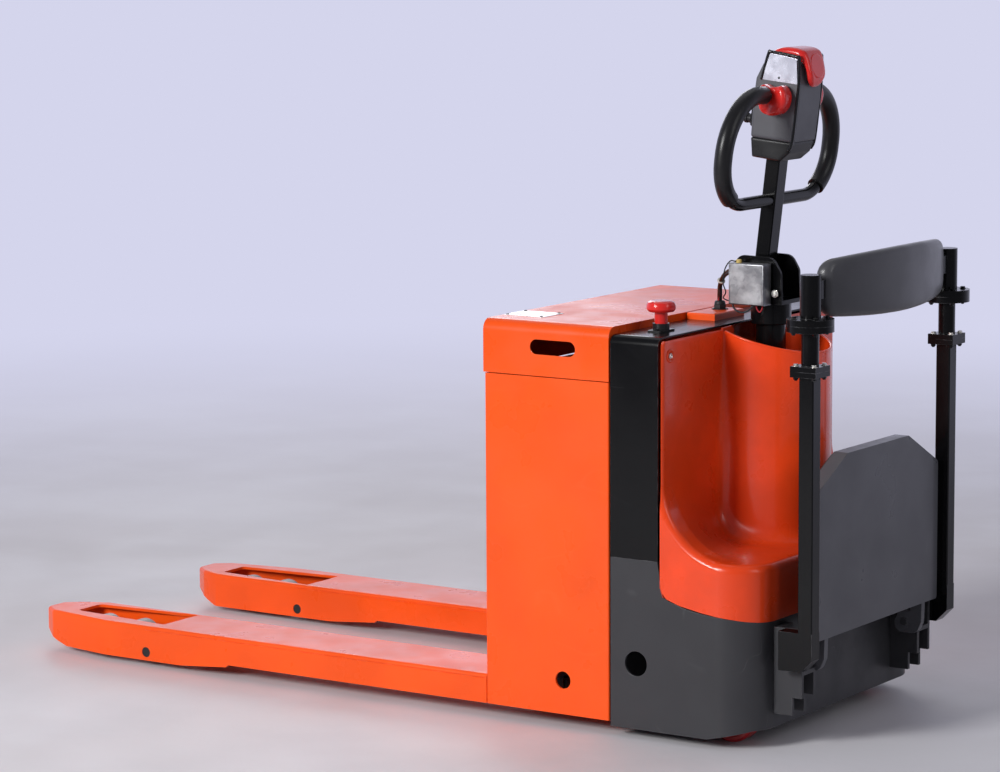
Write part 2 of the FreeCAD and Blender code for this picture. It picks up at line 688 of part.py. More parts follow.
def hood():
    wide, sheet_size = d.half_width, d.hood_sheet
    start, end = at(d.hood_start), at(d.base_end)
    across = (-wide, wide)
    crest = [(at(391), 501), (at(405), 440), (at(424), 404), (at(463), 368), (at(527), 355),
             (end, d.shelf_top)]
    lower = list(reversed(skirt_line()[1:-1])) + [(at(391), 320)]
    profile = plate("hood_profile", "XZ", crest + [(end, 241.5)] + lower, across)
    plan = plate("hood_plan", "XY", base_plan(0, start, end), (200, 600),
                 {1: d.corner_round, 2: d.corner_round})
    shelf = common("hood_shelf", profile, plan)
    under = [(x - sheet_size, z - sheet_size) for x, z in crest]
    hollow_profile = plate("hood_hollow_profile", "XZ", under + [(end - sheet_size, 200),
                                                                (at(380), 200), (at(380), 497)],
                           across)
    hollow_plan = plate("hood_hollow_plan", "XY", base_plan(sheet_size, at(379), end - sheet_size),
                        (190, 600), {1: d.corner_round - sheet_size, 2: d.corner_round - sheet_size})
    hollow = common("hood_hollow", hollow_profile, hollow_plan)
    wing = plate("hood_wing", "YZ",
                 [(-wide, 420), (wide, 420), (wide, d.wing_top - 8), (wide - 8, d.wing_top),
                  (d.column_gap + 6, d.wing_top + 4), (d.column_gap, d.wing_top - 16),
                  (d.column_gap, 400), (-d.column_gap, 400), (-d.column_gap, d.wing_top - 16),
                  (-d.column_gap - 6, d.wing_top + 4), (8 - wide, d.wing_top),
                  (-wide, d.wing_top - 8)], (start, start + sheet_size))
    centre = (at(d.steer_place), 0)
    bulge = rod("hood_bulge", "Z", centre, (350, d.wing_top), d.bulge_radius)
    slope = plate("hood_slope", "XZ", [(at(380), d.wing_top + d.rim_lead), (at(380), d.wing_top + 20),
                                       (at(600), d.wing_top + 20), (at(600), d.wing_top - d.rim_drop)],
                  (-200, 200))
    behind = block("hood_behind", (at(280), start), (-200, 200), (300, 800))
    throat = rod("hood_throat", "Z", centre, (300, 800), d.bulge_radius - sheet_size)
    shell = join("hood_shell", cut("hood_shelf_shell", shelf, hollow), wing,
                 cut("hood_bulge_cut", bulge, slope, behind))
    keep("hood", cut("hood", shell, throat, block("hood_behind_all", (at(280), start), across,
                                                  (500, 800))))


def controller_cover():
    x, y = (chassis_start(), at(345)), (-57, 57)
    shell = block("cover_blank", x, y, (d.arch_top, d.lid_top))
    shell = soften("cover_bends", shell, 3, lambda edge: edge.BoundBox.ZMin > d.lid_top.value - 1)
    inner = block("cover_inner", (x[0] - 1, x[1] - 2), (y[0] + 2, y[1] - 2),
                  (d.arch_top - 1, d.lid_top - 2))
    keep("controller_cover", cut("controller_cover", shell, inner))


def cable_gland():
    centre = (at(312), 20)
    top = d.lid_top
    pieces = [rod("gland_washer", "Z", centre, (top, top + 1.5), 16),
              rod("gland_nut", "Z", centre, (top + 1.5, top + 10), 11.5),
              taper("gland_dome", centre, (top + 10, top + 17), (10.5, 8.8))]
    bore = rod("gland_bore", "Z", centre, (top + 1.5, top + 18), d.gland_bore)
    keep("cable_gland", cut("cable_gland", join("gland_blank", *pieces), bore))


HARNESS_ROUTE = [(312, 20, 781), (312, 19, 806), (316, 14, 829), (330, 5, 848), (350, -6, 858),
                 (371, -14, 861)]
HARNESS_RADIUS = 6.0


def harness():
    """Control cables from the gland to the tiller bracket."""
    points = [Vector(at(x).value, y, z) for x, y, z in HARNESS_ROUTE]
    radii = []
    for before, here, after in zip(points, points[1:], points[2:]):
        turn = (here - before).getAngle(after - here)
        shorter = min((here - before).Length, (after - here).Length)
        radii.append(0.45 * shorter / math.tan(turn / 2))
    print("harness radii", [round(radius, 1) for radius in radii])
    keep("harness", shaped("harness", swept(rounded_path(points, radii), HARNESS_RADIUS)))


def equipment():
    floor = d.deck_height + d.deck_sheet
    back = block("controller_plate", (at(300), at(306)), (-250, -80), (floor, 660))
    case = block("controller_case", (at(306), at(370)), (-240, -90), (430, 640))
    fins = [block("controller_fin" + str(number), (at(369), at(380)),
                  (-232 + 17 * number, -224 + 17 * number), (440, 630)) for number in range(9)]
    keep("controller", join("controller", back, case, *fins))
    tank = block("pump_tank", (at(296), at(380)), (95, 270), (floor, floor + 70))
    motor = rod("pump_motor", "Z", (at(338), 200), (floor + 69, floor + 240), 38)
    valve = block("pump_valve", (at(310), at(366)), (105, 155), (floor + 69, floor + 130))
    keep("pump_unit", join("pump_unit", tank, motor, valve))
    centre = (at(d.lift_place), 0)
    tube = rod("cylinder_tube", "Z", centre, (floor, 540), d.cylinder_radius)
    foot = block("cylinder_foot", (at(d.lift_place - 24), at(d.lift_place + 24)), (-45, 45),
                 (floor, floor + 10))
    bore = rod("cylinder_bore", "Z", centre, (floor + 12, 525), d.rod_of_piston + 4)
    gland = rod("cylinder_gland", "Z", centre, (520, 541), d.rod_of_piston + d.pin_play)
    keep("lift_cylinder", cut("lift_cylinder", join("cylinder_blank", tube, foot), bore, gland))


def emergency_stop():
    centre = (at(d.stop_place), -d.stop_side)
    top = d.arch_top
    foot = block("stop_foot", (centre[0] - 16, centre[0] + 16),
                 (centre[1] - 27, centre[1] + 27), (top, top + 3))
    foot = soften("stop_foot_corners", foot, 6, lambda edge: runs_along(edge, "Z"))
    collar = rod("stop_collar", "Z", centre, (top, top + 15), 16)
    screws = [rod("stop_screw" + str(number), "Z", (centre[0], centre[1] + offset),
                  (top + 2, top + 6), 4) for number, offset in enumerate((-21, 21))]
    bore = rod("stop_bore", "Z", centre, (top + 2, top + 20), d.stop_stem + 0.3)
    keep("estop_base", cut("estop_base", join("stop_blank", foot, collar, *screws), bore))
    stem, head = d.stop_stem, d.stop_head
    profile = [(0, top + 10), (stem, top + 10), (stem, top + 36), (head - 4, top + 37),
               (head, top + 42), (head, top + 49), (head - 3, top + 55), (head - 9, top + 58),
               (0, top + 58)]
    keep("estop_knob", turned("estop_knob", "Z", centre, profile))


# ---------------------------------------------------------------- posts, backrest, platform

def bolt_places(reach):
    return [(reach, reach), (reach, -reach), (-reach, reach), (-reach, -reach)]


def bolt(name, x, y, low, high):
    """A hexagon screw through two flanges, with its nut."""
    pieces = [rod(name + "_shank", "Z", (x, y), (low - 7, high + 1), d.bolt_radius),
              rod(name + "_head", "Z", (x, y), (high, high + 5), 5.2),
              rod(name + "_nut", "Z", (x, y), (low - 5, low), 5.2)]
    return join(name, *pieces)


def post(side, sign, bolts):
    x, y, half = at(d.post_place), sign * d.post_side, d.post_half
    low_flange = d.post_top
    mid_flange = d.post_top + d.flange_sheet
    square_top = mid_flange + d.flange_sheet
    round_mid = d.stub_top + d.round_sheet
    round_top = round_mid + d.round_sheet
    square_holes, round_holes = [], []
    for number, (dx, dy) in enumerate(bolt_places(19)):
        spot = (x + dx, y + dy)
        tag = side + str(number)
        square_holes.append(rod("square_hole_" + tag, "Z", spot, (low_flange - 1, square_top + 1),
                                d.bolt_radius + d.bolt_play))
        bolts.append(bolt("square_bolt_" + tag, *spot, low_flange, square_top))
    for number, (dx, dy) in enumerate(bolt_places(22.5)):
        spot = (x + dx, y + dy)
        tag = side + str(number)
        round_holes.append(rod("round_hole_" + tag, "Z", spot, (d.stub_top - 1, round_top + 1),
                               d.bolt_radius + d.bolt_play))
        bolts.append(bolt("round_bolt_" + tag, *spot, d.stub_top, round_top))

    tube = block("post_tube_" + side, (x - half, x + half), (y - half, y + half), (225, low_flange))
    tube = soften("post_tube_round_" + side, tube, 2.5, lambda edge: runs_along(edge, "Z"))
    bore = block("post_bore_" + side, (x - half + d.post_sheet, x + half - d.post_sheet),
                 (y - half + d.post_sheet, y + half - d.post_sheet), (240, low_flange - 3))
    foot = plate("post_foot_" + side, "XZ", [(at(618), 157), (at(665), 157), (x + half, 181),
                                             (x + half, 231), (at(618), 231)],
                 (y - half, y + half))
    wide = d.flange_half
    flange = block("post_flange_" + side, (x - wide, x + wide), (y - wide, y + wide),
                   (low_flange, mid_flange))
    keep("post_" + side, cut("post_" + side, join("post_blank_" + side, tube, foot, flange),
                             bore, *square_holes))
    stub_flange = block("stub_flange_" + side, (x - wide, x + wide), (y - wide, y + wide),
                        (mid_flange, square_top))
    stub = join("stub_blank_" + side, stub_flange,
                rod("stub_tube_" + side, "Z", (x, y), (square_top, d.stub_top), d.stub_radius),
                rod("stub_disc_" + side, "Z", (x, y), (d.stub_top, round_mid), d.round_flange))
    top = join("top_blank_" + side,
               rod("top_disc_" + side, "Z", (x, y), (round_mid, round_top), d.round_flange),
               rod("top_tube_" + side, "Z", (x, y), (round_top, d.posts_height), d.top_radius),
               block("pad_bracket_" + side, (at(664), at(682)),
                     (sign * d.pad_half, sign * (d.post_side - d.top_radius + 4)), (848, 882)))
    return (cut("stub_" + side, stub, *square_holes, *round_holes),
            cut("top_" + side, top, *round_holes))


def posts():
    bolts, stubs, tops = [], [], []
    for side, sign in SIDES.items():
        stub, top = post(side, sign, bolts)
        stubs.append(stub)
        tops.append(top)
    keep("post_stubs", group("post_stubs", *stubs))
    keep("post_tops", group("post_tops", *tops))
    keep("flange_bolts", group("flange_bolts", *bolts))


def backrest():
    half, rise = d.pad_half, d.pad_height / 2
    middle, crown = d.pad_middle, d.pad_crown
    outline = [(-half, middle - rise), (-half / 2, middle - rise - crown * 0.75),
               (0, middle - rise - crown), (half / 2, middle - rise - crown * 0.75),
               (half, middle - rise), (half, middle + rise), (half / 2, middle + rise + crown * 0.75),
               (0, middle + rise + crown), (-half / 2, middle + rise + crown * 0.75),
               (-half, middle + rise)]
    face = plate("pad_face", "YZ", outline, (at(600), at(760)), {0: 25, 4: 25, 5: 25, 9: 25})
    centre = (at(730) - d.pad_radius, 0)
    limits = (middle - 80, middle + 80)
    ring = cut("pad_ring", rod("pad_outer", "Z", centre, limits, d.pad_radius),
               rod("pad_inner", "Z", centre, limits, d.pad_radius - d.pad_thick))
    keep("backrest_pad", common("backrest_pad", ring, face))


def tray_outline(inset):
    half, flat = d.tray_half - inset, d.tray_flat - inset * 0.4
    low, high, corner = d.tray_low + inset, d.tray_high - inset, d.tray_corner - inset * 0.4
    return [(-half, low), (half, low), (half, corner), (flat, high), (-flat, high), (-half, corner)]


def platform():
    outer = at(d.tray_outer)
    inner = outer - d.tray_depth
    corners = {0: 6, 1: 6, 2: 10, 3: 10, 4: 10, 5: 10}
    pan = cut("tray_pan", plate("tray_blank", "YZ", tray_outline(0), (inner, outer), corners),
              plate("tray_hollow", "YZ", tray_outline(d.tray_sheet),
                    (inner - 1, outer - d.tray_sheet), {0: 3, 1: 3, 2: 7, 3: 7, 4: 7, 5: 7}))
    hinge_x, hinge_z = at(d.hinge_place), d.hinge_height
    pieces = [pan]
    for side, sign in SIDES.items():
        limits = (sign * 191, sign * 205)
        pieces.append(plate("lug_" + side, "XZ",
                            [(hinge_x - 20, hinge_z), (hinge_x - 20, hinge_z - 22),
                             (hinge_x + 28, hinge_z - 22), (outer - 4, hinge_z + 2),
                             (outer - 1, d.tray_low + 60), (inner + 2, d.tray_low + 60),
                             (inner + 2, hinge_z + 22), (hinge_x - 10, hinge_z + 22)], limits,
                            {1: 18, 2: 18, 3: 8, 7: 8}))
    bores = rod("lug_bores", "Y", (hinge_x, hinge_z), (-230, 230), d.hinge_pin + d.pin_play)
    keep("platform_tray", cut("platform_tray", join("tray_with_lugs", *pieces), bores))
    mat = plate("mat_blank", "YZ", tray_outline(5), (inner - d.mat_thick, inner),
                {0: 8, 1: 8, 2: 10, 3: 10, 4: 10, 5: 10})
    slots = [block("mat_relief_" + side, (inner - 20, inner + 1), (sign * 189, sign * 207),
                   (d.tray_low, d.tray_low + 62)) for side, sign in SIDES.items()]
    keep("platform_mat", cut("platform_mat", mat, *slots))


def rear_brackets():
    pieces = []
    for side, sign in SIDES.items():
        x0, x1 = at(d.base_end + 0.2), at(652)
        body = block("rear_body_" + side, (x0, x1), (sign * 207, sign * 261), (66, 231))
        slot = block("rear_slot_" + side, (x0 + 12, x1 + 1), (sign * 216, sign * 253), (60, 143))
        notch = block("rear_notch_" + side, (x0 + 12, x1 + 1), (sign * 200, sign * 253), (152, 240))
        corner = block("rear_corner_" + side, (x0 + 40, x1 + 1), (sign * 200, sign * 270), (60, 100))
        pin = rod("rear_pin_" + side, "Y", (at(d.hinge_place), d.hinge_height),
                  (sign * 189, sign * 212), d.hinge_pin)
        boss = rod("rear_boss_" + side, "Y", (at(d.hinge_place), d.hinge_height),
                   (sign * 207, sign * 216), 20)
        pieces.append(join("rear_" + side, cut("rear_cut_" + side, body, slot, notch, corner), pin, boss))
    keep("rear_brackets", group("rear_brackets", *pieces))


# ---------------------------------------------------------------- steering and drive

def steering():
    centre = (at(d.steer_place), 0)
    floor = d.deck_height + d.deck_sheet
    radius = d.collar_radius
    column = turned("steering_column", "Z", centre,
                    [(0, d.motor_top), (d.column_radius, d.motor_top),
                     (d.column_radius, d.collar_bottom), (radius - 2, d.collar_bottom),
                     (radius, d.collar_bottom + 2), (radius, d.bracket_bottom), (0, d.bracket_bottom)])
    keep("steering_column", column)
    motor = turned("drive_motor", "Z", centre,
                   [(0, floor + 8), (d.motor_radius, floor + 8), (d.motor_radius, d.motor_top - 30),
                    (d.motor_radius - 14, d.motor_top), (0, d.motor_top)])
    keep("drive_motor", motor)
    disc = rod("gearbox_disc", "Z", centre, (236, floor + 8), d.turntable_radius)
    side = block("gearbox_side", (centre[0] - 48, centre[0] + 48), (41, 88), (115, 237))
    round_end = rod("gearbox_round", "Y", (centre[0], 115), (41, 88), 48)
    axle = rod("gearbox_axle", "Y", (centre[0], 115), (-34, 42), 17.95)
    keep("gearbox", join("gearbox", disc, side, round_end, axle))
    wheel, half = d.drive_radius, d.drive_half
    core = wheel - 22
    hub = [(18, -half), (40, -half), (46, -half + 14), (core - 12, -half + 14), (core - 8, -half + 2),
           (core, -half + 2), (core, half - 2), (core - 8, half - 2), (core - 12, half - 14),
           (46, half - 14), (40, half), (18, half)]
    keep("drive_hub", turned_about_y("drive_hub", centre[0], 0, wheel, hub))
    tyre = [(core, -half + 2), (wheel - 6, -half), (wheel, -half + 6), (wheel, half - 6),
            (wheel - 6, half), (core, half - 2)]
    keep("drive_tyre", turned_about_y("drive_tyre", centre[0], 0, wheel, tyre))


def tiller_bracket():
    low = d.bracket_bottom
    inner, outer = d.cheek_inner, d.cheek_inner + d.cheek_sheet
    outline = [(at(372), low), (at(482), low), (at(479), low + 62), (at(462), low + 90),
               (at(392), low + 92), (at(374), low + 74)]
    cheeks = [plate("cheek_" + side, "XZ", outline, (sign * inner, sign * outer),
                    {2: 16, 3: 24, 4: 20, 5: 6}) for side, sign in SIDES.items()]
    base = block("bracket_base", (at(372), at(482)), (-outer, outer), (low, low + 8))
    pin = rod("tiller_pin", "Y", (at(d.tiller_place), d.tiller_height), (-outer - 3, outer + 3),
              d.tiller_pin)
    bolt_head = rod("bracket_bolt", "Y", (at(470), low + 22), (-outer - 6, -outer + 1), 5.5)
    keep("tiller_bracket", join("tiller_bracket", *cheeks, base, pin, bolt_head))
    gap = 0.5
    box_y = (-outer - 34, -outer - 3 - gap)
    case = block("switch_case", (at(384), at(461)), box_y, (low, low + 79))
    case = soften("switch_bends", case, 2.5, lambda edge: runs_along(edge, "X") or runs_along(edge, "Z"))
    lip = block("switch_lip", (at(388), at(457)), (box_y[0] + 10, -outer), (low + 70, low + 78))
    pads = [block("switch_pad" + str(number), (at(x), at(x + 12)), (box_y[1] - 1, -outer),
                  (low + 8, low + 18)) for number, x in enumerate((392, 440))]
    keep("switch_box", join("switch_box", case, lip, *pads))


# ---------------------------------------------------------------- tiller

def tiller_arm():
    deep, wide = d.arm_depth / 2, d.arm_width / 2
    tube = block("arm_tube", (-deep, deep), (-wide, wide), (-14, d.head_low + 6), leaning=True)
    tube = soften("arm_round", tube, 3, lambda edge: abs(edge.Length - d.head_low.value - 20) < 1)
    boss = rod("arm_boss", "Y", (0, 0), (-d.cheek_inner + 0.5, d.cheek_inner - 0.5), 14, leaning=True)
    bore = rod("arm_bore", "Y", (0, 0), (-40, 40), d.tiller_pin + d.pin_play, leaning=True)
    loop_hole = rod("arm_loop_hole", "Y", (0, d.loop_low), (-40, 40), d.loop_tube + 0.02, leaning=True)
    keep("tiller_arm", cut("tiller_arm", join("arm_blank", tube, boss), bore, loop_hole))


def loop_points():
    half, low, high = d.loop_half.value, d.loop_low.value, d.loop_high.value
    start = d.head_half.value
    return [Vector(0, y, z) for y, z in ((-start, high), (-half, high + 4), (-half, low),
                                         (half, low), (half, high + 4), (start, high))]


def bare_bar(sign):
    """The space around the loop's lower bar that the grips leave free on one side."""
    turn = d.loop_lower_round.value
    y, z = d.loop_half.value - turn, d.loop_low.value + turn
    angle = math.radians(d.grip_end.value)
    reach = 2 * turn
    corners = [(0, z), (y, z), (y + reach * math.cos(angle), z - reach * math.sin(angle)), (0, z - reach)]
    points = [Vector(-30, sign * across, up) for across, up in corners]
    return Part.Face(Part.makePolygon(points + points[:1])).extrude(Vector(60, 0, 0))


def handle():
    upper, lower = d.loop_upper_round.value, d.loop_lower_round.value
    path = rounded_path(loop_points(), [upper, lower, lower, upper])
    radius = d.loop_tube.value
    tube = swept(path, radius).cut(swept(path, radius - d.loop_wall.value))
    keep("handle_loop", shaped("handle_loop", tube, leaning=True))
    grips = []
    for sign in (-1, 1):
        points = [Vector(0, sign * abs(point.y), point.z) for point in loop_points()[:3]]
        points[0] = Vector(0, sign * d.head_half.value, d.loop_high.value)
        points[2] = Vector(0, sign * d.loop_half.value, d.loop_low.value)
        end = Vector(0, sign * 96, d.loop_low.value)
        whole = rounded_path(points + [end], [upper, lower])
        outer = swept(whole, d.grip_radius.value)
        path = rounded_path(points + [Vector(0, sign * 40, d.loop_low.value)], [upper, lower])
        inner = swept(path, d.loop_tube.value + 0.02)
        start = Part.makeBox(60, 2 * d.grip_start.value, 80,
                             Vector(-30, -d.grip_start.value, d.loop_high.value - 40))
        grips.append(outer.cut(inner).cut(start).cut(bare_bar(sign)))
    keep("handle_grips", shaped("handle_grips", Part.makeCompound(grips), leaning=True))


HEAD_OUTLINE = [(-40, 258), (-43, 330), (-42, 372), (-30, 402), (10, 410), (44, 405), (54, 372),
                (55, 340), (54, 261)]
HEAD_FOOT = [(-40, 258), (54, 261), (46, 240), (28, 222), (-33, 222)]
THROTTLE_OUTLINE = [(-18, 355), (-10, 367), (0, 364), (8, 362), (18, 365), (31, 370), (45, 352),
                    (43, 328), (29, 311), (0, 308), (-13, 320)]
CAP_OUTLINE = [(-20, 421), (-12, 431), (8, 437.5), (36, 438.5), (54, 433), (70, 386), (66, 362),
               (60, 356), (57, 362), (56.5, 398), (44, 417), (10, 421)]


def head():
    wide = d.head_half
    shell = plate("head_blank", "XZ", HEAD_OUTLINE, (-wide, wide), {2: 14, 3: 10, 4: 40, 5: 14, 6: 14},
                  leaning=True)
    socket = block("head_socket", (-15.2, 15.2), (-18.2, 18.2), (200, 236), leaning=True)
    loop_bore = rod("head_loop_bore", "Y", (0, d.loop_high), (-wide - 1, wide + 1),
                    d.loop_tube + 1, leaning=True)
    pockets = [block("head_pocket" + str(number), (-60, -28), limits, (276, 318), leaning=True)
               for number, limits in enumerate(((-24, -2), (2, 24)))]
    keep("head_shell", cut("head_shell", shell, loop_bore, *pockets))
    lower = plate("head_base_blank", "XZ", HEAD_FOOT, (-wide, wide), {2: 8, 3: 6, 4: 6}, leaning=True)
    keep("head_base", cut("head_base", lower, socket))


def controls():
    wide = d.head_half
    for side, sign in SIDES.items():
        name = "throttle_" + side
        wheel = plate(name + "_wheel", "XZ", THROTTLE_OUTLINE,
                      (sign * (wide + 0.4), sign * d.throttle_reach),
                      {0: 6, 1: 4, 3: 20, 5: 9, 6: 9, 7: 12, 8: 10, 9: 10, 10: 10}, leaning=True)
        bore = rod(name + "_bore", "Y", (0, d.loop_high + 0.7), (sign * wide, sign * (wide + 60)),
                   d.loop_tube + d.throttle_play, leaning=True)
        keep(name, cut(name, wheel, bore))
    cap = plate("belly_blank", "XZ", CAP_OUTLINE, (-d.cap_half, d.cap_half),
                {1: 6, 2: 20, 3: 20, 4: 12, 5: 14, 6: 5, 10: 8}, leaning=True)
    keep("belly_button", cap)
    for name, low, high in (("lift_button", -23.5, -2.5), ("lower_button", 2.5, 23.5)):
        face = block(name + "_face", (-56, -34), (low, high), (276.5, 317.5), leaning=True)
        keep(name, soften(name, face, 4, lambda edge: True))


# ---------------------------------------------------------------- platform-side casters

def caster(side, sign):
    x, y = at(d.caster_place), sign * d.caster_side
    wheel_x = x + d.caster_trail
    radius, half = d.caster_radius, d.caster_half
    stem = rod("caster_stem_" + side, "Z", (x, y), (119, d.deck_height - 0.4), 21)
    crown = block("caster_crown_" + side, (x - 24, wheel_x + 18), (y - half - 7, y + half + 7),
                  (113, 120))
    legs = [plate("caster_leg_" + side + tag, "XZ",
                  [(x - 20, 116), (wheel_x + 16, 116), (wheel_x + 13, radius - 12),
                   (wheel_x - 13, radius - 12)], limits, {2: 9, 3: 9})
            for tag, limits in (("a", (y - half - 6, y - half - 2)),
                                ("b", (y + half + 2, y + half + 6)))]
    axle = rod("caster_axle_" + side, "Y", (wheel_x, radius), (y - half - 7, y + half + 7),
               d.caster_axle)
    keep("caster_yoke_" + side, join("caster_yoke_" + side, stem, crown, *legs, axle))
    profile = [(d.caster_axle + d.pin_play, -half), (radius - 16, -half), (radius - 14, -half + 3),
               (radius - 10, -half), (radius - 4, -half), (radius, -half + 4), (radius, half - 4),
               (radius - 4, half), (radius - 10, half), (radius - 14, half - 3), (radius - 16, half),
               (d.caster_axle + d.pin_play, half)]
    name = "caster_wheel_" + side
    keep(name, turned_about_y(name, wheel_x, y, radius, profile))


def build():
    battery_box()
    for side, sign in SIDES.items():
        fork(side, sign)
        load_wheels(side, sign)
        push_rod(side, sign)
        caster(side, sign)
    pivot_pins()
    battery()
    piston_rod()
    battery_lid()
    torsion_shaft()
    base_frame()
    upper_arch()
    hood()
    controller_cover()
    cable_gland()
    harness()
    equipment()
    emergency_stop()
    posts()
    backrest()
    platform()
    rear_brackets()
    steering()
    tiller_bracket()
    tiller_arm()
    handle()
    head()
    controls()


def write_parts():
    doc.recompute()
    faults = [thing.Label for thing in doc.Objects
              if "Invalid" in thing.State or "Error" in thing.State]
    for node, thing in parts.items():
        if thing.Shape.isNull() or not thing.Shape.isValid() or not thing.Shape.Solids:
            faults.append(node)
    if faults:
        raise SystemExit("faulty: " + ", ".join(faults))
    os.makedirs("parts", exist_ok=True)
    for node, thing in parts.items():
        thing.Shape.exportStep("parts/" + node + ".step")
    print(len(parts), "sub-parts written")


build()
write_parts()
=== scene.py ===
import json
import math

import bmesh
import bpy
import numpy as np
from mathutils import Matrix, Vector


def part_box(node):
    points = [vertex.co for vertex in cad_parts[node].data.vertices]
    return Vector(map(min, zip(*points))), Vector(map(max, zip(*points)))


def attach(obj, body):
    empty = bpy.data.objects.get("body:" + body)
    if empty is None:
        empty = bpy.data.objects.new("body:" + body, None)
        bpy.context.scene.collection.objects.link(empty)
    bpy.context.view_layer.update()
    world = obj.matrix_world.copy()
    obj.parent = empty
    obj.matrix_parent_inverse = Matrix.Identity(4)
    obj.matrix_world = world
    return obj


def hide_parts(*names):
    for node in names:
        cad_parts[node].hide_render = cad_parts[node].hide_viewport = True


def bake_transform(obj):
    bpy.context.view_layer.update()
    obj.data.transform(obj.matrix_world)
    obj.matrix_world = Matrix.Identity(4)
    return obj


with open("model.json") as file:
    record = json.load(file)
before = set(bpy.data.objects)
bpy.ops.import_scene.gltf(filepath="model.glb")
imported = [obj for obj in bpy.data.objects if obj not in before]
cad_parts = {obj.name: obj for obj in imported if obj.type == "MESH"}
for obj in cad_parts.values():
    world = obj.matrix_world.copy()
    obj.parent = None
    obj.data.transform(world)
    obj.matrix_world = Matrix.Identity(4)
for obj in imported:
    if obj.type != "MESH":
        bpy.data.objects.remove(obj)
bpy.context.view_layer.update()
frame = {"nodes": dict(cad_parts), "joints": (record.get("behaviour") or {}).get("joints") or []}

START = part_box("battery_box")[0].x
JOINTS = {joint["name"]: joint for joint in frame["joints"]}
TRUCK = Matrix.Translation((START, 0, 0)) @ Matrix.Scale(0.001, 4)
TILLER = (Matrix.Translation(JOINTS["tiller_tilt"]["pos_m"])
          @ Matrix.Rotation(math.radians(7), 4, "Y") @ Matrix.Scale(0.001, 4))
SIDES = {"left": -1, "right": 1}


# ---------------------------------------------------------------- finishes

COAT_ROUGH = 0.06
ORANGE_PEEL = 0.00004
BRUSHED = 0.00002


class Finish:
    """One procedural finish. Its pattern is placed in metres in the truck's frame."""

    def __init__(self, name, metallic=0.0, coat=0.0, sheen=0.0):
        self.material = bpy.data.materials.new(name)
        self.material.use_nodes = True
        self.nodes = self.material.node_tree.nodes
        self.links = self.material.node_tree.links
        self.shader = self.nodes["Principled BSDF"]
        self.place = self.nodes.new("ShaderNodeTexCoord").outputs["Object"]
        self.shader.inputs["Metallic"].default_value = metallic
        self.shader.inputs["Coat Weight"].default_value = coat
        self.shader.inputs["Coat Roughness"].default_value = COAT_ROUGH
        self.shader.inputs["Sheen Weight"].default_value = sheen
        self.height = None

    def node(self, kind, inputs=None, **settings):
        made = self.nodes.new("ShaderNode" + kind)
        for name, value in settings.items():
            setattr(made, name, value)
        for name, value in (inputs or {}).items():
            if isinstance(value, bpy.types.NodeSocket):
                self.links.new(value, made.inputs[name])
            else:
                made.inputs[name].default_value = value
        return made

    def gloss(self, level, index):
        """How much the surface mirrors head on."""
        self.shader.inputs["Specular IOR Level"].default_value = level
        self.shader.inputs["Coat IOR"].default_value = index

    def stretched(self, stretch, shift):
        return self.node("Mapping", {"Vector": self.place, "Scale": stretch,
                                     "Location": (shift, shift, shift)}).outputs[0]

    def noise(self, scale, detail=3.0, stretch=(1, 1, 1), shift=0.0):
        return self.node("TexNoise", {"Vector": self.stretched(stretch, shift), "Scale": scale,
                                      "Detail": detail}).outputs["Fac"]

    def cells(self, scale):
        """Distance to the nearest of many scattered points."""
        place = self.stretched((1, 1, 1), 0.0)
        return self.node("TexVoronoi", {"Vector": place, "Scale": scale}).outputs["Distance"]

    def curve(self, value, low, high, first=0.0, last=1.0):
        return self.node("MapRange", {"Value": value, "From Min": low, "From Max": high,
                                      "To Min": first, "To Max": last},
                         interpolation_type="SMOOTHSTEP").outputs["Result"]

    def times(self, first, second):
        return self.node("Math", {0: first, 1: second}, operation="MULTIPLY").outputs[0]

    def mix(self, factor, first, second):
        return self.node("Mix", {0: factor, 6: first, 7: second}, data_type="RGBA").outputs[2]

    def scratches(self, scale, stretch, shift=0.0):
        """Thin broken lines."""
        line = self.noise(scale, 1.5, stretch, shift)
        thin = self.times(self.curve(line, 0.492, 0.5), self.curve(line, 0.508, 0.5))
        return self.times(thin, self.curve(self.noise(9, 3, shift=shift + 4), 0.5, 0.62))

    def edges(self, width):
        """Rises along worn edges, in patches."""
        soft = self.node("Bevel", {"Radius": width}, samples=4).outputs[0]
        hard = self.node("NewGeometry").outputs["Normal"]
        agree = self.node("VectorMath", {0: soft, 1: hard}, operation="DOT_PRODUCT").outputs["Value"]
        patches = self.curve(self.noise(38, 4), 0.42, 0.62)
        return self.times(self.curve(agree, 0.97, 0.8), patches)

    def colour(self, value):
        self.links.new(value, self.shader.inputs["Base Color"])

    def roughness(self, value, low, high, spread=0.2):
        result = self.curve(value, 0.5 - spread, 0.5 + spread, low, high)
        self.links.new(result, self.shader.inputs["Roughness"])

    def bump(self, height, depth):
        """Adds relief that is depth metres high."""
        inputs = {"Height": height, "Distance": depth}
        if self.height is not None:
            inputs["Normal"] = self.height
        self.height = self.node("Bump", inputs).outputs[0]
        self.links.new(self.height, self.shader.inputs["Normal"])
        self.links.new(self.height, self.shader.inputs["Coat Normal"])


def shade(colour, amount):
    return tuple(min(1.0, part * amount) for part in colour[:3]) + (1.0,)


